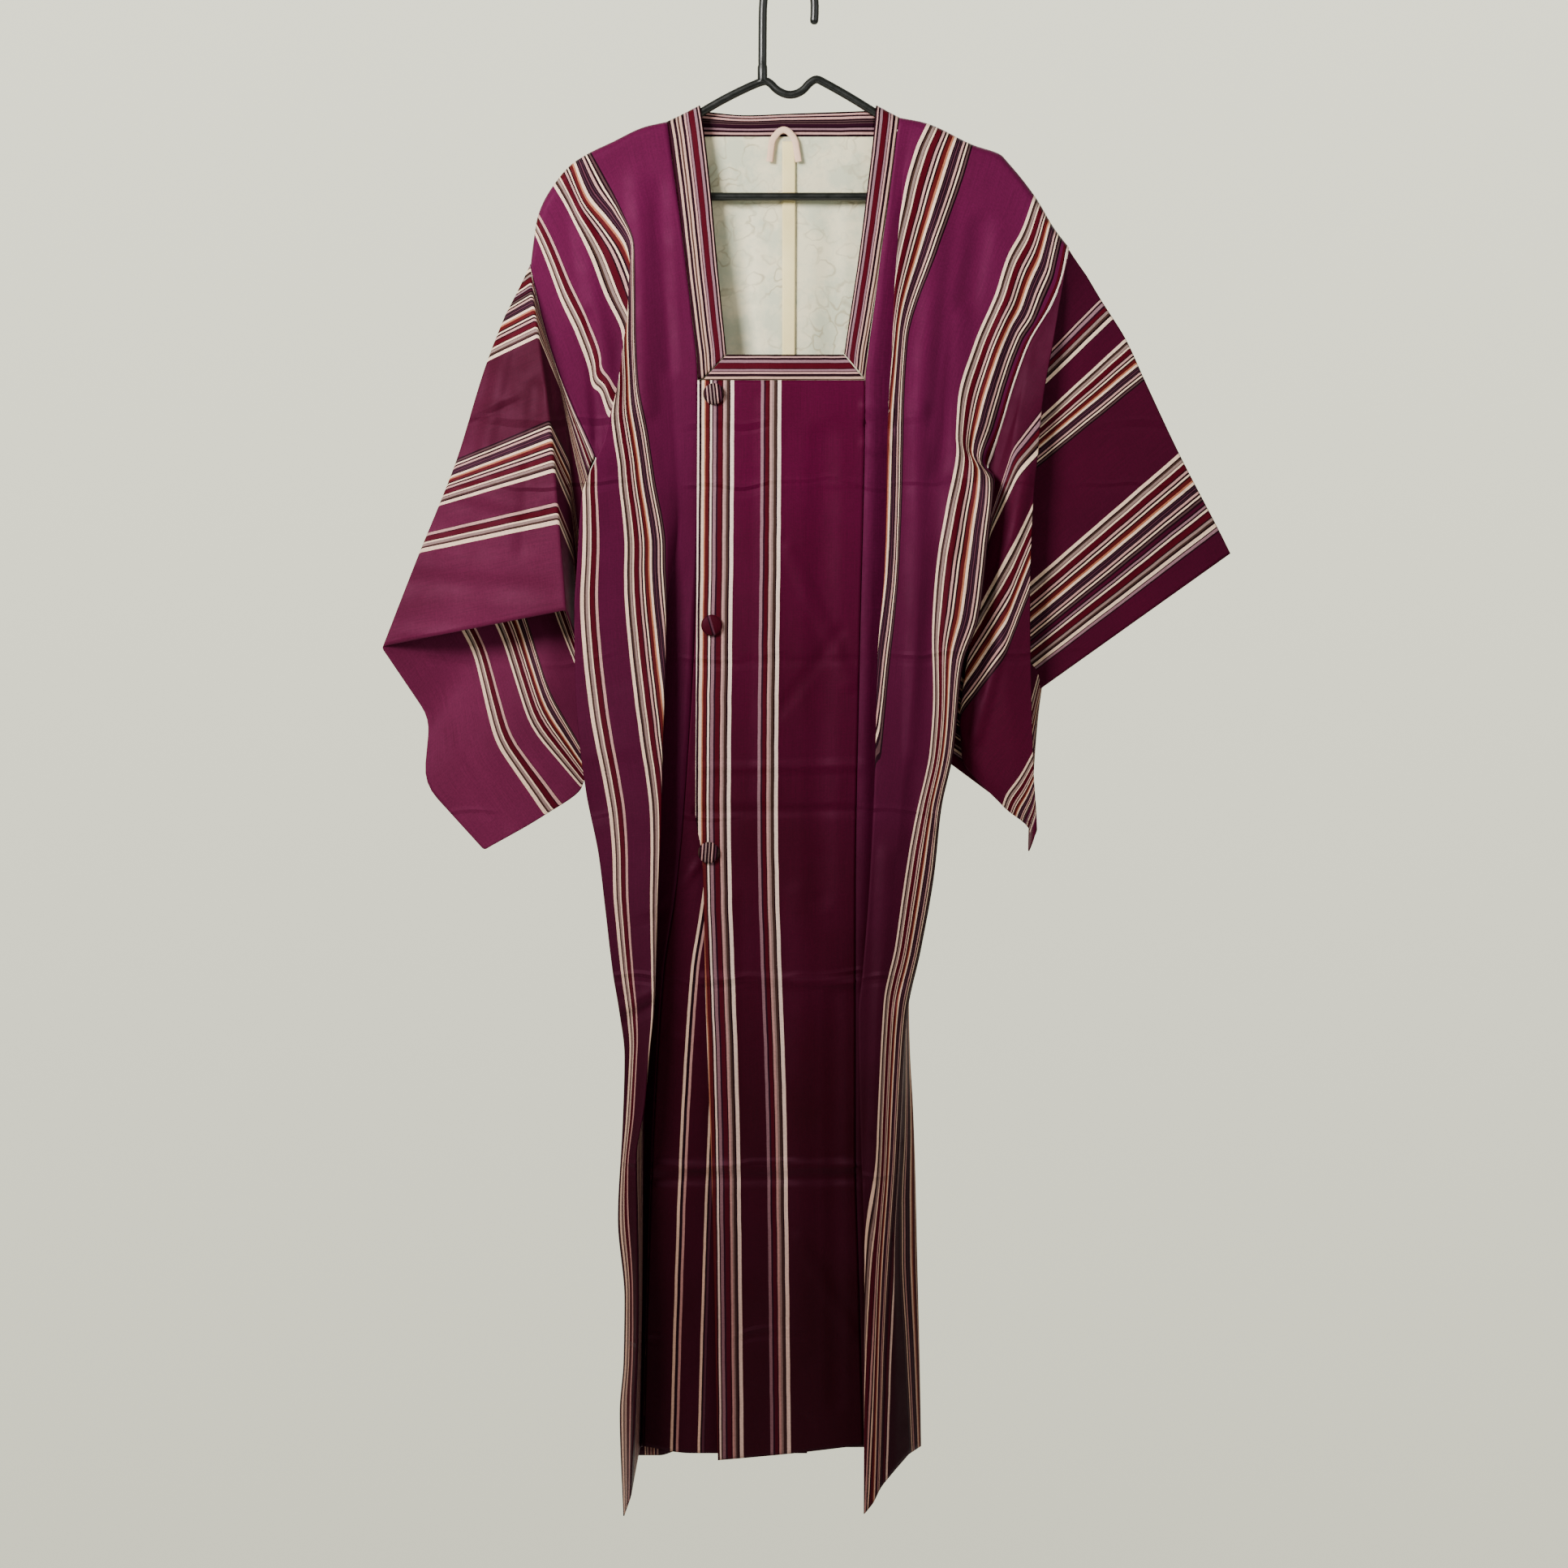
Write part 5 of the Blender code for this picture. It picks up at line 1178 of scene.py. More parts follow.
def blend(tree, kind, factor, first, second):
    node = tree.nodes.new("ShaderNodeMix")
    node.data_type = "RGBA"
    node.blend_type = kind
    for socket, value in zip(MIX_SOCKETS, (factor, first, second)):
        take_value(tree, node.inputs[socket], value)
    return node.outputs[2]


def raised(tree, shader, height, strength, distance):
    bump = tree.nodes.new("ShaderNodeBump")
    set_inputs(bump, {"Strength": strength, "Distance": distance})
    tree.links.new(height, bump.inputs["Height"])
    tree.links.new(bump.outputs["Normal"], shader.inputs["Normal"])


# One group of threads across the cloth: a ramp of hard-edged stripes, clear outside
def stripe_group(tree, across, chart, begins, ends):
    width = chart[-1][0]
    total = width + 2.0 * CLEAR_EDGE
    margin = CLEAR_EDGE * (ends - begins) / width
    node = tree.nodes.new("ShaderNodeValToRGB")
    ramp = node.color_ramp
    ramp.interpolation = "CONSTANT"
    ramp.elements[0].color = CLEAR
    ramp.elements[1].color = CLEAR
    ramp.elements[1].position = (width + CLEAR_EDGE) / total
    start = 0.0
    for end, thread in chart:
        stop = ramp.elements.new((start + CLEAR_EDGE) / total)
        stop.color = (*shade(THREADS[thread]), 1.0)
        start = end
    place = fitted(tree, across, metres(begins - margin, ends + margin), (0.0, 1.0))
    tree.links.new(place, node.inputs["Fac"])
    return node.outputs["Color"], node.outputs["Alpha"]


# Marks across the coat where it was folded away: a trough and a ridge at each height
def fold_marks(tree, height, strength_at):
    top = FOLD_MARKS[0] + MARK_MARGIN
    run = top - FOLD_MARKS[-1] + MARK_MARGIN
    node = tree.nodes.new("ShaderNodeValToRGB")
    ramp = node.color_ramp
    ramp.elements[0].color = LEVEL
    ramp.elements[1].color = LEVEL
    for mark in FOLD_MARKS:
        for offset, rise in MARK_PROFILE:
            stop = ramp.elements.new((top - mark + offset) / run)
            stop.color = (rise, rise, rise, 1.0)
    tree.links.new(fitted(tree, height, metres(top, top - run), (0.0, 1.0)), node.inputs["Fac"])
    return math_node(tree, "MULTIPLY", math_node(tree, "SUBTRACT", node.outputs["Color"], 0.5), strength_at)


# Plum silk with its woven stripes: threads along the cloth, a fine rib across, slow changes of tone, and
# painted shade towards the hem
def striped_silk(name, stripes, lit_top_colour, shaded_hem_colour):
    made, tree, shader = blank_material(name)
    chart = tree.nodes.new("ShaderNodeUVMap")
    chart.uv_map = "cloth"
    cloth = chart.outputs["UV"]
    place = object_place(tree)
    split = tree.nodes.new("ShaderNodeSeparateXYZ")
    tree.links.new(cloth, split.inputs["Vector"])
    height = tree.nodes.new("ShaderNodeSeparateXYZ")
    tree.links.new(place, height.inputs["Vector"])
    across = math_node(tree, "ADD", split.outputs["X"], grain(tree, cloth, *WEAVING_WANDER))

    # Painted shade: the ground turns from the lit top colour to the shaded hem colour by the object's height
    painted_shade_to_hem = fitted(tree, height.outputs["Z"], GROUND_REACH, (0.0, 1.0))
    ground = math_node(tree, "ADD", painted_shade_to_hem, grain(tree, place, *GROUND_CLOUD))
    colour = blend(tree, "MIX", ground, lit_top_colour, shaded_hem_colour)
    for threads, begins, ends in stripes:
        stripe, cover = stripe_group(tree, across, threads, begins, ends)
        colour = blend(tree, "MIX", cover, colour, stripe)
    tone = math_node(tree, "MULTIPLY", grain(tree, cloth, *WARP), grain(tree, cloth, *SLUB))
    tone = math_node(tree, "MULTIPLY", tone, grain(tree, cloth, *CREPE))
    grey = tree.nodes.new("ShaderNodeCombineColor")
    for socket in grey.inputs[:3]:
        tree.links.new(tone, socket)
    colour = blend(tree, "MULTIPLY", 1.0, colour, grey.outputs[0])
    # Painted shade: the stripes are darkened towards the hem too
    colour = blend(tree, "MULTIPLY", painted_shade_to_hem, colour, HEM_PAINTED_SHADE)
    tree.links.new(colour, shader.inputs["Base Color"])
    tree.links.new(grain(tree, place, *SILK_GLOSS), shader.inputs["Roughness"])

    rib = math_node(tree, "MULTIPLY", noise(tree, cloth, *RIB), RIB_HEIGHT)
    rumple = math_node(tree, "MULTIPLY", noise(tree, place, *RUMPLE), RUMPLE_HEIGHT)
    marked_height = math_node(tree, "ADD", height.outputs["Z"], grain(tree, place, *MARK_SWAY))
    marks = fold_marks(tree, marked_height, grain(tree, place, *MARK_DEPTH))
    raised(tree, shader, math_node(tree, "ADD", math_node(tree, "ADD", rib, rumple), marks), *SILK_BUMP)
    set_inputs(shader, SILK_SHEEN)
    return made


# Figured lining silk: pale clouds with scalloped outlines, a greener cast here and there, a fine weave
def lining_silk(name, light, cloud, outline):
    made, tree, shader = blank_material(name)
    place = object_place(tree)
    swirl = tree.nodes.new("ShaderNodeCombineXYZ")
    tree.links.new(grain(tree, place, *SWIRL_ACROSS), swirl.inputs["X"])
    tree.links.new(grain(tree, place, *SWIRL_DOWN), swirl.inputs["Z"])
    swirled = tree.nodes.new("ShaderNodeVectorMath")
    swirled.operation = "ADD"
    tree.links.new(place, swirled.inputs[0])
    tree.links.new(swirl.outputs[0], swirled.inputs[1])
    scallops = tree.nodes.new("ShaderNodeTexVoronoi")
    scallops.feature = "F1"
    scallops.inputs["Scale"].default_value = SCALLOP_SCALE
    tree.links.new(swirled.outputs[0], scallops.inputs["Vector"])
    inner_rim = fitted(tree, scallops.outputs["Distance"], INNER_RIM, (0.0, 1.0))
    outer_rim = fitted(tree, scallops.outputs["Distance"], OUTER_RIM, (1.0, 0.0))
    line = math_node(tree, "MULTIPLY", inner_rim, outer_rim)
    line = math_node(tree, "MULTIPLY", line, grain(tree, place, *FIGURED_PARTS))
    patches = fitted(tree, noise(tree, place, *CLOUD_PATCHES), CLOUD_REACH, (0.0, 1.0))
    colour = blend(tree, "MIX", patches, light, cloud)
    tree.links.new(blend(tree, "MIX", line, colour, outline), shader.inputs["Base Color"])
    weave = math_node(tree, "MULTIPLY", noise(tree, place, *LINING_WEAVE), LINING_WEAVE_HEIGHT)
    raised(tree, shader, math_node(tree, "ADD", patches, weave), *LINING_BUMP)
    tree.links.new(fitted(tree, patches, (0.0, 1.0), LINING_GLOSS), shader.inputs["Roughness"])
    set_inputs(shader, LINING_SHEEN)
    return made


# Cotton tape: diagonal twill lines and soft soiling
def tape_cotton(name, colour, shadow):
    made, tree, shader = blank_material(name)
    place = object_place(tree)
    soiling = grain(tree, place, *TAPE_SOILING)
    tree.links.new(blend(tree, "MIX", soiling, colour, shadow), shader.inputs["Base Color"])
    tree.links.new(fitted(tree, soiling, (0.0, 1.0), TAPE_GLOSS), shader.inputs["Roughness"])
    twill = tree.nodes.new("ShaderNodeTexWave")
    twill.bands_direction = "DIAGONAL"
    set_inputs(twill, TAPE_TWILL)
    tree.links.new(place, twill.inputs["Vector"])
    raised(tree, shader, twill.outputs["Fac"], *TAPE_BUMP)
    return made


# Moulded plastic: near black, with greyer scuffs along the bars and fine pitting
def hanger_plastic(name, colour, scuffed):
    made, tree, shader = blank_material(name)
    place = object_place(tree)
    scuffs = grain(tree, place, *PLASTIC_SCUFFS)
    tree.links.new(blend(tree, "MIX", scuffs, colour, scuffed), shader.inputs["Base Color"])
    tree.links.new(grain(tree, place, *PLASTIC_GLOSS), shader.inputs["Roughness"])
    raised(tree, shader, noise(tree, place, *PLASTIC_PITTING), *PLASTIC_BUMP)
    return made


# A path of points drawn softer by cutting its corners
def softened(path, times, closed):
    for _ in range(times):
        result = [] if closed else [path[0]]
        for index in range(len(path) if closed else len(path) - 1):
            after = path[(index + 1) % len(path)]
            result.append(mix(path[index], after, 0.25))
            result.append(mix(path[index], after, 0.75))
        if not closed:
            result.append(path[-1])
        path = result
    return path


def heading(path, index, closed):
    count = len(path)
    before = path[index - 1] if closed or index else path[0]
    after = path[(index + 1) % count] if closed or index < count - 1 else path[-1]
    return math.atan2(after[0] - before[0], after[1] - before[1])


def select_where(thing, wanted):
    bpy.ops.mesh.select_all(action="DESELECT")
    bpy.ops.object.mode_set(mode="OBJECT")
    for vertex in thing.data.vertices:
        vertex.select = wanted(vertex)
    bpy.ops.object.mode_set(mode="EDIT")


# Takes over the primitive that was just added: names it, puts its place in its mesh and opens it for edits
def started(name, select_mode):
    thing = bpy.context.object
    thing.name = name
    thing.data.name = name
    bpy.ops.object.transform_apply(location=True, rotation=True, scale=True)
    bpy.ops.object.mode_set(mode="EDIT")
    bpy.ops.mesh.select_mode(type=select_mode)
    bpy.ops.mesh.select_all(action="SELECT")
    return thing


# A round bar: a ring carried along its path by extruding, joined up where a frame closes
def round_bar(name, path, radius, sides, closed):
    bpy.ops.object.select_all(action="DESELECT")
    turned = heading(path, 0, closed)
    places = [metres(x, 0.0, z) for x, z in path]
    bpy.ops.mesh.primitive_circle_add(vertices=sides, radius=radius / 1000.0, fill_type="NOTHING",
                                      location=places[0], rotation=(0.0, turned, 0.0))
    thing = started(name, "VERT")
    for index in range(1, len(path)):
        step = metres(path[index][0] - path[index - 1][0], 0.0, path[index][1] - path[index - 1][1])
        bpy.ops.mesh.extrude_region_move(TRANSFORM_OT_translate={"value": step})
        facing = heading(path, index, closed)
        turn = (facing - turned + math.pi) % (2.0 * math.pi) - math.pi
        bpy.ops.transform.rotate(value=TURN_SENSE * turn, orient_axis="Y", center_override=places[index])
        turned = facing
    if closed:
        last_ring = sides * (len(path) - 1)
        select_where(thing, lambda vertex: vertex.index < sides or vertex.index >= last_ring)
        bpy.ops.mesh.bridge_edge_loops()
    else:
        for end, near in ((places[0], places[1]), (places[-1], places[-2])):
            select_where(thing, lambda vertex: math.dist(vertex.co, end) < radius * RING_REACH / 1000.0)
            round_off(end, near, radius)
    face_outwards()
    return thing


# A bar's end, drawn out from its open ring into a blunt dome
def round_off(end, near, radius):
    out = away_from(end, near)
    size = math.hypot(out[0], out[2])
    for push, narrow in BAR_END:
        shift = tuple(v / size * radius * push / 1000.0 for v in out)
        bpy.ops.mesh.extrude_region_move(TRANSFORM_OT_translate={"value": shift})
        end = tuple(p + q for p, q in zip(end, shift))
        bpy.ops.transform.resize(value=(narrow, narrow, narrow), center_override=end)
    bpy.ops.mesh.merge(type="CENTER")


def arm_height(shoulder_table, x):
    return reader([(abs(at), height) for width, at, height in shoulder_table])(x)[0] - ARM_BELOW_CLOTH


def hanger_piece():
    right_arm = [(x, arm_height(SHOULDER_RIGHT, x)) for x in ARM_PLACES_RIGHT]
    left_arm = [(-x, arm_height(SHOULDER_LEFT, x)) for x in ARM_PLACES_LEFT]
    frame_path = HANGER_NECK + right_arm + HANGER_LOWER_BAR + left_arm + HANGER_LEFT_NECK
    hook_arc = [(HOOK_RADIUS * math.cos(math.radians(angle)),
                 HOOK_CENTRE_Z + HOOK_RADIUS * math.sin(math.radians(angle))) for angle in HOOK_ANGLES]
    frame_path = softened(frame_path, times=2, closed=True)
    hanger = round_bar("hanger_frame", frame_path, BAR_RADIUS, BAR_SIDES, closed=True)
    hook_path = softened(HOOK_STEM + hook_arc + HOOK_END, times=1, closed=False)
    hook = round_bar("hanger_hook", hook_path, HOOK_BAR, HOOK_SIDES, closed=False)
    collar = round_bar("hanger_collar", COLLAR_PATH, COLLAR_RADIUS, HOOK_SIDES, closed=False)
    for part in (hook, collar):
        joined = hanger.modifiers.new(part.name + " joined", "BOOLEAN")
        joined.operation = "UNION"
        joined.solver = "EXACT"
        joined.object = part
    apply_modifiers(hanger)
    for part in (hook, collar):
        bpy.data.objects.remove(part, do_unlink=True)
    softer = hanger.modifiers.new("moulded edge", "BEVEL")
    softer.width = MOULDED_EDGE
    softer.segments = 2
    softer.limit_method = "ANGLE"
    softer.angle_limit = math.radians(MOULDED_ANGLE)
    apply_modifiers(hanger)
    bpy.ops.object.shade_smooth_by_angle(angle=math.radians(SMOOTH_ANGLE))
    hanger.data.materials.append(hanger_plastic("hanger black plastic", HANGER_BLACK, HANGER_SCUFFS))
    return hanger


# A covered button: a disc drawn out into a low dome, with the cloth turned under behind it
def button_piece(name, x, z, stripes, tilt):
    centre = metres(*seen(x, reader(TOP_PANEL_EDGE)(z)[1] - BUTTON_STAND, z))
    depth = BUTTON_DEPTH / 1000.0
    bpy.ops.object.select_all(action="DESELECT")
    bpy.ops.mesh.primitive_circle_add(
        vertices=BUTTON_SIDES, radius=BUTTON_RADIUS / 1000.0 * BUTTON_BACK, fill_type="NGON",
        location=centre, rotation=(math.pi / 2.0, 0.0, 0.0))
    thing = started(name, "FACE")
    height = 0.0
    width = BUTTON_BACK
    for rise, share in BUTTON_DOME:
        step = (0.0, -(rise - height) * depth, 0.0)
        bpy.ops.mesh.extrude_region_move(TRANSFORM_OT_translate={"value": step})
        bpy.ops.transform.resize(value=(share / width, 1.0, share / width),
                                 center_override=(centre[0], centre[1] - rise * depth, centre[2]))
        height = rise
        width = share
    face_outwards()
    rounder = thing.modifiers.new("covered edge", "SUBSURF")
    rounder.levels = BUTTON_SMOOTHING
    rounder.render_levels = BUTTON_SMOOTHING
    apply_modifiers(thing)
    bpy.ops.object.shade_smooth()
    chart = thing.data.uv_layers.active
    chart.name = "cloth"
    for loop in thing.data.loops:
        point = thing.data.vertices[loop.vertex_index].co
        across = (point.x - centre[0]) * math.cos(tilt) + (point.z - centre[2]) * math.sin(tilt)
        chart.data[loop.index].uv = (across, point.z - centre[2])
    thing.data.materials.append(striped_silk(name + " silk", stripes, BUTTON_GROUND, BUTTON_GROUND))
    return thing


# Height of a side band's foot: it follows the mitre from the outside in, and turns level at turn_share
def band_low(share, turn_share, turn_low):
    if share < turn_share:
        return BAND_LOW + (turn_low - BAND_LOW) * share / turn_share
    return turn_low + (BAND_LOW_INNER - turn_low) * (share - turn_share) / (1.0 - turn_share)


# How far a band's cloth stands forward of its edges
def crown(share):
    return BAND_CROWN * (1.0 - (2.0 * share - 1.0)**4)


# A side band between its outer and inner edges, from the back over the shoulder down to its foot
def side_band_grid(outer, inner, turn_share, turn_low, rows_over):
    outer_read = reader(outer)
    inner_read = reader(inner)
    shares = [column / (BAND_COLUMNS - 1) for column in range(BAND_COLUMNS)]
    places = []
    for outer_point, inner_point in reversed(rows_over):
        places.append([mix(outer_point, inner_point, share) for share in shares])
    for row in range(SIDE_BAND_ROWS):
        line = []
        for share in shares:
            top = mix(outer[0], inner[0], share)[0]
            depth = row_depth(row, SIDE_BAND_ROWS, top - band_low(share, turn_share, turn_low))
            x, y = mix(outer_read(top - depth), inner_read(top - depth), share)
            line.append((x, y * over_bar(depth), top - depth))
        places.append(line)
    grid = []
    along = 0.0
    for index, line in enumerate(places):
        if index:
            along += length(places[index - 1][0], line[0])
        width = length(line[0], line[-1])
        grid.append([(x, y - crown(share) if y < CROWNED_BEFORE else y, z, width * (1.0 - share), along)
                     for share, (x, y, z) in zip(shares, line)])
    return grid


# A level band through rows of lower edge, middle and upper edge
def flat_band_grid(rows_across, steps):
    readers = [reader([(index, *row[place]) for index, row in enumerate(rows_across)]) for place in range(3)]
    grid = []
    for step in range(steps):
        key = (len(rows_across) - 1) * step / (steps - 1)
        across = reader([(index, *read(key)) for index, read in enumerate(readers)])
        line = []
        for column in range(BAND_COLUMNS):
            share = column / (BAND_COLUMNS - 1)
            x, y, z = across(2.0 * share)
            line.append((x, y - crown(share), z, FLAT_BAND_WIDTH * (1.0 - share), FLAT_BAND_STEP * key))
        grid.append(line)
    return grid


# The hanging loop: tape laid along a softened path, hollowed a little across
def loop_grid():
    middle = softened(LOOP_PATH, times=3, closed=False)
    grid = []
    along = 0.0
    for index, (x, z) in enumerate(middle):
        before = middle[max(index - 1, 0)]
        after = middle[min(index + 1, len(middle) - 1)]
        run = math.hypot(after[0] - before[0], after[1] - before[1])
        side_x = (after[1] - before[1]) / run * LOOP_HALF
        side_z = -(after[0] - before[0]) / run * LOOP_HALF
        along += run / 2.0
        line = []
        for t in LOOP_PLACES:
            y = LOOP_FRONT - LOOP_HOLLOW * (1.0 - t * t)
            line.append((x + side_x * t, y, z + side_z * t, LOOP_HALF * t, along))
        grid.append(line)
    return grid


def own_width(x, z):
    return x


def band_silk_piece(name, grid, silk):
    return cloth_piece(name, [grid], BAND_WALL, FRONT_RELIEF, silk)


hanger = hanger_piece()
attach(hanger, "root")
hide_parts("hanger")

body_left = cloth_piece(
    "coat_body_left",
    body_grids(LEFT_FRONT, LEFT_BACK, SHOULDER_LEFT, NECK_LINE_LEFT,
               LEFT_SEAM_FRONT, LEFT_SEAM_BACK_TOP, LEFT_WIDTHS, LEFT_BACK_WIDTHS),
    WALL, FRONT_RELIEF, striped_silk("body left silk", BODY_LEFT_STRIPES, PLUM_TOP_LIT, PLUM_HEM_SHADED))
body_right = cloth_piece(
    "coat_body_right",
    body_grids(RIGHT_FRONT, RIGHT_BACK, SHOULDER_RIGHT, NECK_LINE_RIGHT,
               RIGHT_SEAM_FRONT, RIGHT_SEAM_BACK_TOP, RIGHT_WIDTHS, RIGHT_BACK_WIDTHS),
    WALL, FRONT_RELIEF, striped_silk("body right silk", BODY_RIGHT_STRIPES, PLUM_TOP_LIT, PLUM_HEM_SHADED))

sleeve_left = cloth_piece(
    "coat_sleeve_left",
    [sleeve_grid(SLEEVE_LEFT, LEFT_CUFF, SHOULDER_LEFT, LEFT_SEAM_FRONT, LEFT_SEAM_BACK_TOP, -1,
                 LEFT_SETTLE)],
    WALL, LEFT_SLEEVE_RELIEF,
    striped_silk("sleeve left silk", SLEEVE_LEFT_STRIPES, SLEEVE_LEFT_LIT_TOP, SLEEVE_LEFT_LIT_TIP))
sleeve_right = cloth_piece(
    "coat_sleeve_right",
    [sleeve_grid(SLEEVE_RIGHT, RIGHT_CUFF, SHOULDER_RIGHT, RIGHT_SEAM_FRONT, RIGHT_SEAM_BACK_TOP, 1,
                 RIGHT_SETTLE)],
    WALL, RIGHT_SLEEVE_RELIEF,
    striped_silk("sleeve right silk", SLEEVE_RIGHT_STRIPES, SLEEVE_RIGHT_SHADED_TOP, SLEEVE_RIGHT_SHADED_TIP))

panel_stripe = reader(PANEL_STRIPE)
top_seam = [TOP_PANEL_CORNER] + rows_below(beside_seam(RIGHT_FRONT, -PANEL_GAP), PANEL_TOP)
overlap_top = cloth_piece(
    "coat_overlap_top",
    [panel_grid([TOP_PANEL_EDGE, TOP_PANEL_MIDDLE, top_seam], TOP_PANEL_COLUMNS, PANEL_ROWS,
                lambda x, z: x - panel_stripe(z)[0])],
    WALL, FRONT_RELIEF, striped_silk("overlap silk", TOP_PANEL_STRIPES, OVERLAP_TOP_LIT, OVERLAP_HEM_SHADED))
left_seam = reader(beside_seam(LEFT_FRONT, 0))
under_seam = [UNDER_PANEL_CORNER] + rows_below(beside_seam(LEFT_FRONT, SEAM_GAP), PANEL_TOP)
overlap_under = cloth_piece(
    "coat_overlap_under",
    [panel_grid([under_seam, UNDER_PANEL_MIDDLE, UNDER_PANEL_EDGE], UNDER_PANEL_COLUMNS, PANEL_ROWS,
                lambda x, z: x - left_seam(z)[0])],
    WALL, FRONT_RELIEF, striped_silk("under overlap silk", UNDER_PANEL_STRIPES, OVERLAP_TOP_LIT, OVERLAP_HEM_SHADED))

band_silk = striped_silk("neck band silk", BAND_STRIPES, BAND_GROUND, BAND_GROUND)
back_band_silk = striped_silk("back band silk", BACK_BAND_STRIPES, BAND_GROUND, BAND_GROUND)
right_outer = [BAND_RIGHT_TOP] + rows_above(beside_seam(RIGHT_FRONT, -SEAM_GAP), BAND_FOOT)
left_outer = [BAND_LEFT_TOP] + rows_above(beside_seam(LEFT_FRONT, SEAM_GAP), BAND_FOOT)
band_right = band_silk_piece(
    "neck_band_right_piece",
    side_band_grid(right_outer, BAND_RIGHT_INNER, RIGHT_BAND_TURN, RIGHT_BAND_TURN_Z, BAND_RIGHT_OVER),
    band_silk)
band_left = band_silk_piece(
    "neck_band_left_piece",
    side_band_grid(left_outer, BAND_LEFT_INNER, LEFT_BAND_TURN, BAND_LOW, BAND_LEFT_OVER), band_silk)
band_bottom = band_silk_piece(
    "neck_band_bottom_piece", flat_band_grid(BAND_BOTTOM, BOTTOM_BAND_STEPS), band_silk)
band_back = band_silk_piece(
    "neck_band_back_piece", flat_band_grid(BAND_BACK, BACK_BAND_STEPS), back_band_silk)

lining = cloth_piece(
    "back_lining_piece", [panel_grid(LINING_LINES, LINING_COLUMNS, LINING_ROWS, own_width)],
    WALL, FRONT_RELIEF, lining_silk("lining silk", LINING_LIGHT, LINING_CLOUD, LINING_OUTLINE))
lining_tape = cloth_piece(
    "lining_tape_piece", [panel_grid(TAPE_LINES, TAPE_COLUMNS, LINING_ROWS, own_width)],
    WALL, FRONT_RELIEF, tape_cotton("lining tape", STRIP_CREAM, STRIP_SHADOW))
hanging_loop = cloth_piece("hanging_loop_piece", [loop_grid()], WALL, FRONT_RELIEF,
                           tape_cotton("loop tape", LOOP_CREAM, LOOP_SHADOW))

buttons = []
for number, (button_x, button_z, lines, tilt) in enumerate(BUTTONS, 1):
    button = button_piece("button_%d_piece" % number, button_x, button_z, lines, tilt)
    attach(button, "root")
    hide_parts("button_%d" % number)
    buttons.append(button)

# Cloths, each: CAD node, slot, flat width and length (m), what it hangs on, flat area (m2), what is sewn on
cloths = [
    (body_left, "body_left", "body_left_cloth", (0.36, 2.62), [hanger], 0.60, []),
    (body_right, "body_right", "body_right_cloth", (0.36, 2.64), [hanger], 0.60, []),
    (sleeve_left, "sleeve_left", "sleeve_left_cloth", (0.35, 1.0), [body_left], 0.165, []),
    (sleeve_right, "sleeve_right", "sleeve_right_cloth", (0.34, 1.0), [body_right], 0.165, []),
    (overlap_top, "front_overlap_top", "overlap_top_cloth", (0.17, 1.07), [body_right], None, buttons),
    (overlap_under, "front_overlap_under", "overlap_under_cloth", (0.17, 1.07), [body_left], None, []),
    (band_left, "neck_band_left", "neck_band_left_cloth", (0.03, 0.29), [body_left], None, []),
    (band_right, "neck_band_right", "neck_band_right_cloth", (0.03, 0.29), [body_right], None, []),
    (band_bottom, "neck_band_bottom", "neck_band_bottom_cloth", (0.025, 0.165), [overlap_top], None, []),
    (band_back, "neck_band_back", "neck_band_back_cloth", (0.025, 0.18), [body_right], None, []),
    (lining, "back_lining", "lining_cloth", (0.31, 0.41), [body_left, body_right], None, []),
    (lining_tape, "lining_strip", "strip_cloth", (0.012, 0.40), [lining], None, []),
    (hanging_loop, "hanging_loop", "loop_tape", (0.013, 0.1), [lining], 0.00065, []),
]
for cloth, node, slot_name, flat, carriers, area, sewn_on in cloths:
    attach(cloth, "root")
    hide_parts(node)
    [carrier.name for carrier in carriers]
    [piece.name for piece in sewn_on]

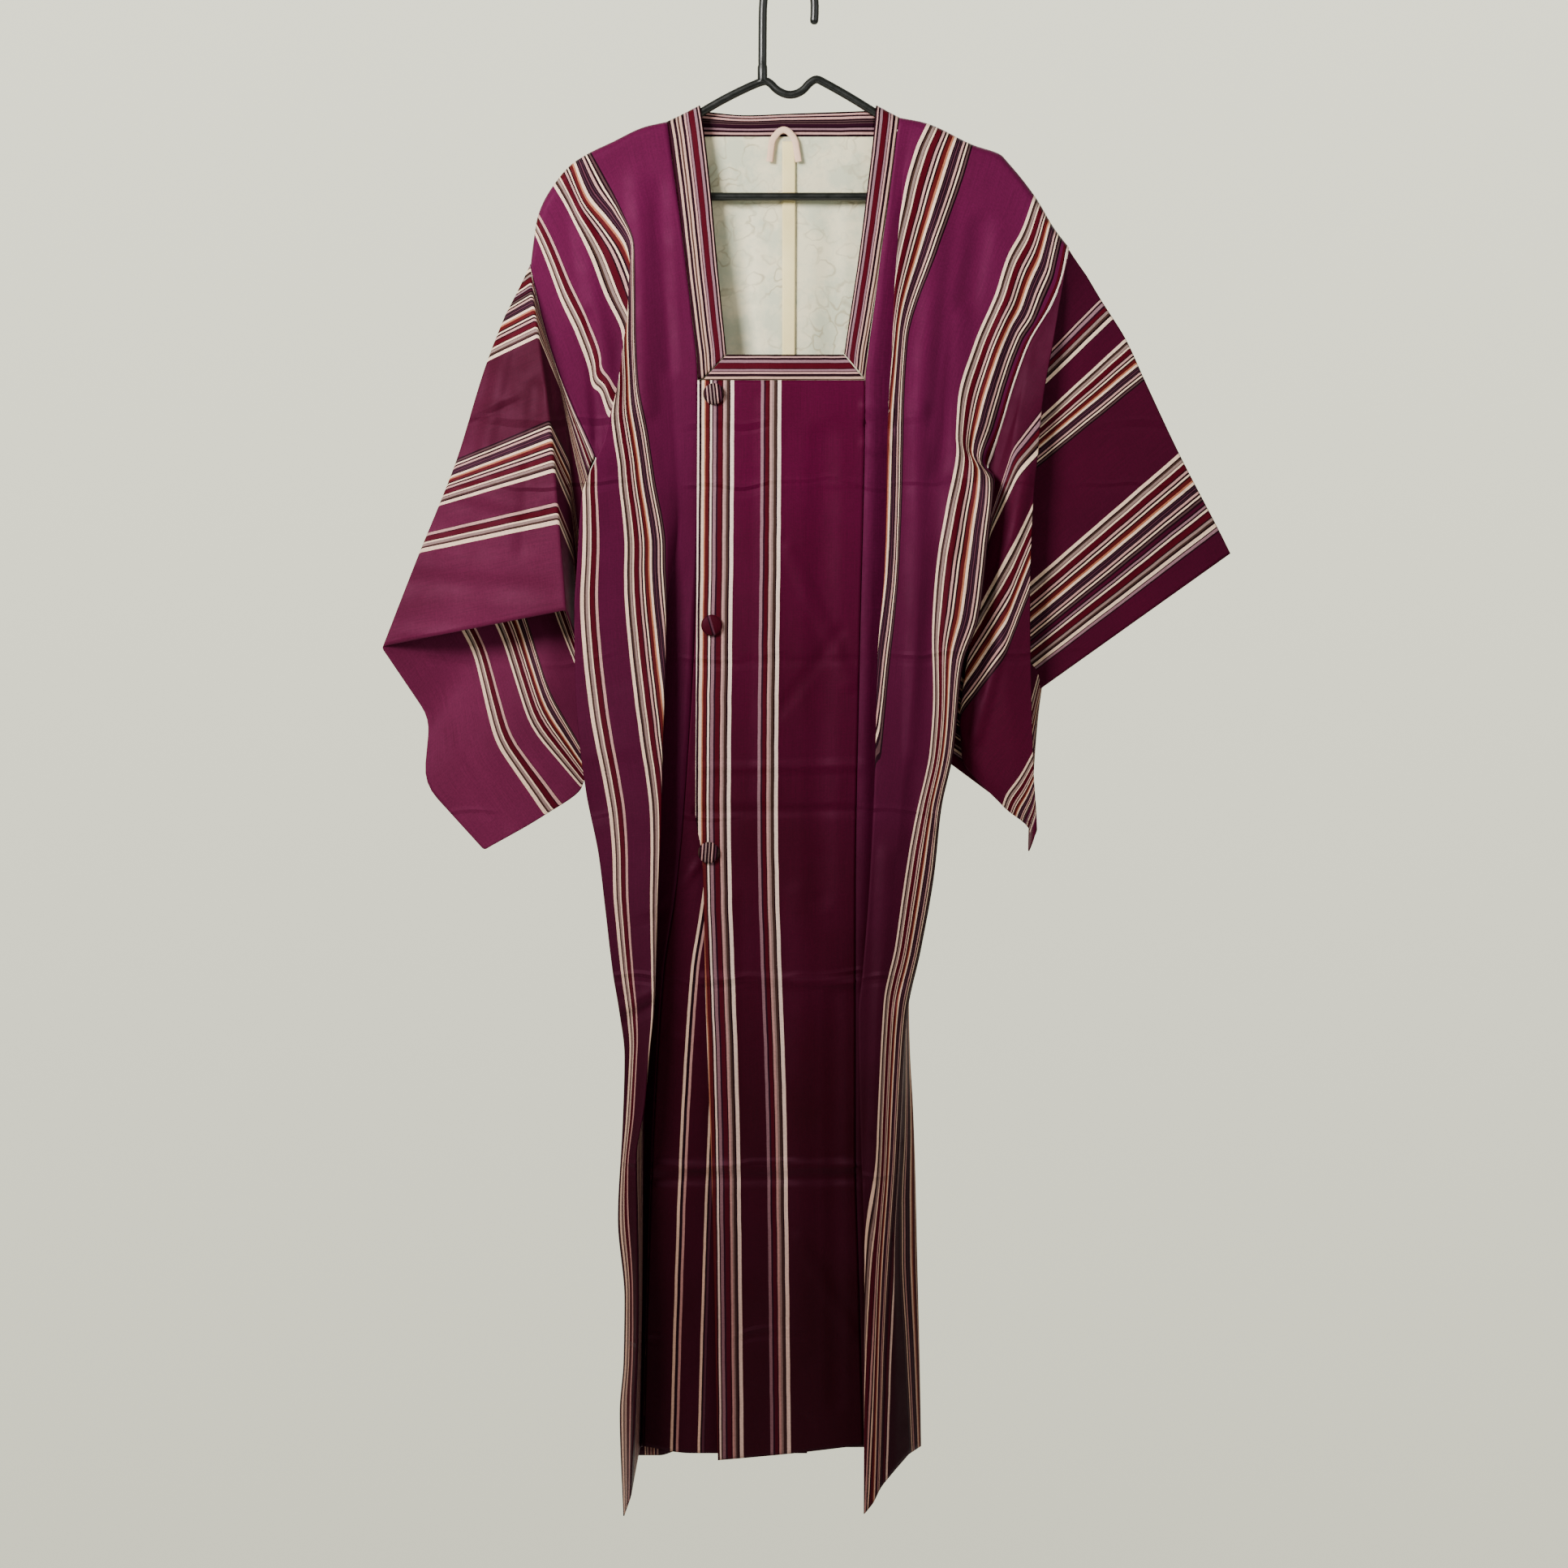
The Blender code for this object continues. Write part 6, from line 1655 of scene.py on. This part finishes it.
# Plain pale floor well below the hem
bpy.ops.object.select_all(action="DESELECT")
bpy.ops.mesh.primitive_plane_add(size=1.0, location=FLOOR_PLACE)
floor = bpy.context.object
floor.name = "studio_floor"
floor.scale = FLOOR_SIZE
bpy.ops.object.transform_apply(location=True, rotation=True, scale=True)
floor_paint, _, floor_shader = blank_material("pale floor")
set_inputs(floor_shader, FLOOR_PAINT)
floor.data.materials.append(floor_paint)
floor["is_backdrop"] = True


# Even studio light from soft boxes, each aimed at a place on the coat
def soft_box(name, location, target, size, power, colour):
    lamp = bpy.data.lights.new(name, "AREA")
    lamp.shape = "SQUARE"
    lamp.size = size
    lamp.energy = power
    lamp.color = colour
    box = bpy.data.objects.new(name, lamp)
    box.location = location
    aim = Vector(away_from(target, location))
    box.rotation_euler = aim.to_track_quat("-Z", "Y").to_euler()
    bpy.context.scene.collection.objects.link(box)


for box_settings in SOFT_BOXES:
    soft_box(*box_settings)

# A pale backdrop: brighter behind the coat and higher up
world = bpy.data.worlds.new("studio")
bpy.context.scene.world = world
world.use_nodes = True
sky = world.node_tree
backdrop = sky.nodes["Background"]
backdrop.inputs["Color"].default_value = BACKDROP_COLOUR
direction = sky.nodes.new("ShaderNodeSeparateXYZ")
sky.links.new(sky.nodes.new("ShaderNodeTexCoord").outputs["Generated"], direction.inputs["Vector"])
rearwards = fitted(sky, direction.outputs["Y"], *BACKDROP_REARWARDS)
upwards = fitted(sky, direction.outputs["Z"], *BACKDROP_UPWARDS)
sky.links.new(math_node(sky, "MULTIPLY", rearwards, upwards), backdrop.inputs["Strength"])

# Camera straight in front, as the coat is seen
lens = bpy.data.cameras.new("camera")
lens.lens = CAMERA_LENS
lens.sensor_width = CAMERA_SENSOR
camera = bpy.data.objects.new("camera", lens)
camera.location = CAMERA_PLACE
camera.rotation_euler = (math.pi / 2.0, 0.0, 0.0)
bpy.context.scene.collection.objects.link(camera)
bpy.context.scene.camera = camera


# The CAD box and the dressed box, as lists of numbers
def corners(box):
    return [[float(v) for v in corner] for corner in box]


{"cad": corners(cad_box), "dressed": corners(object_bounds())}
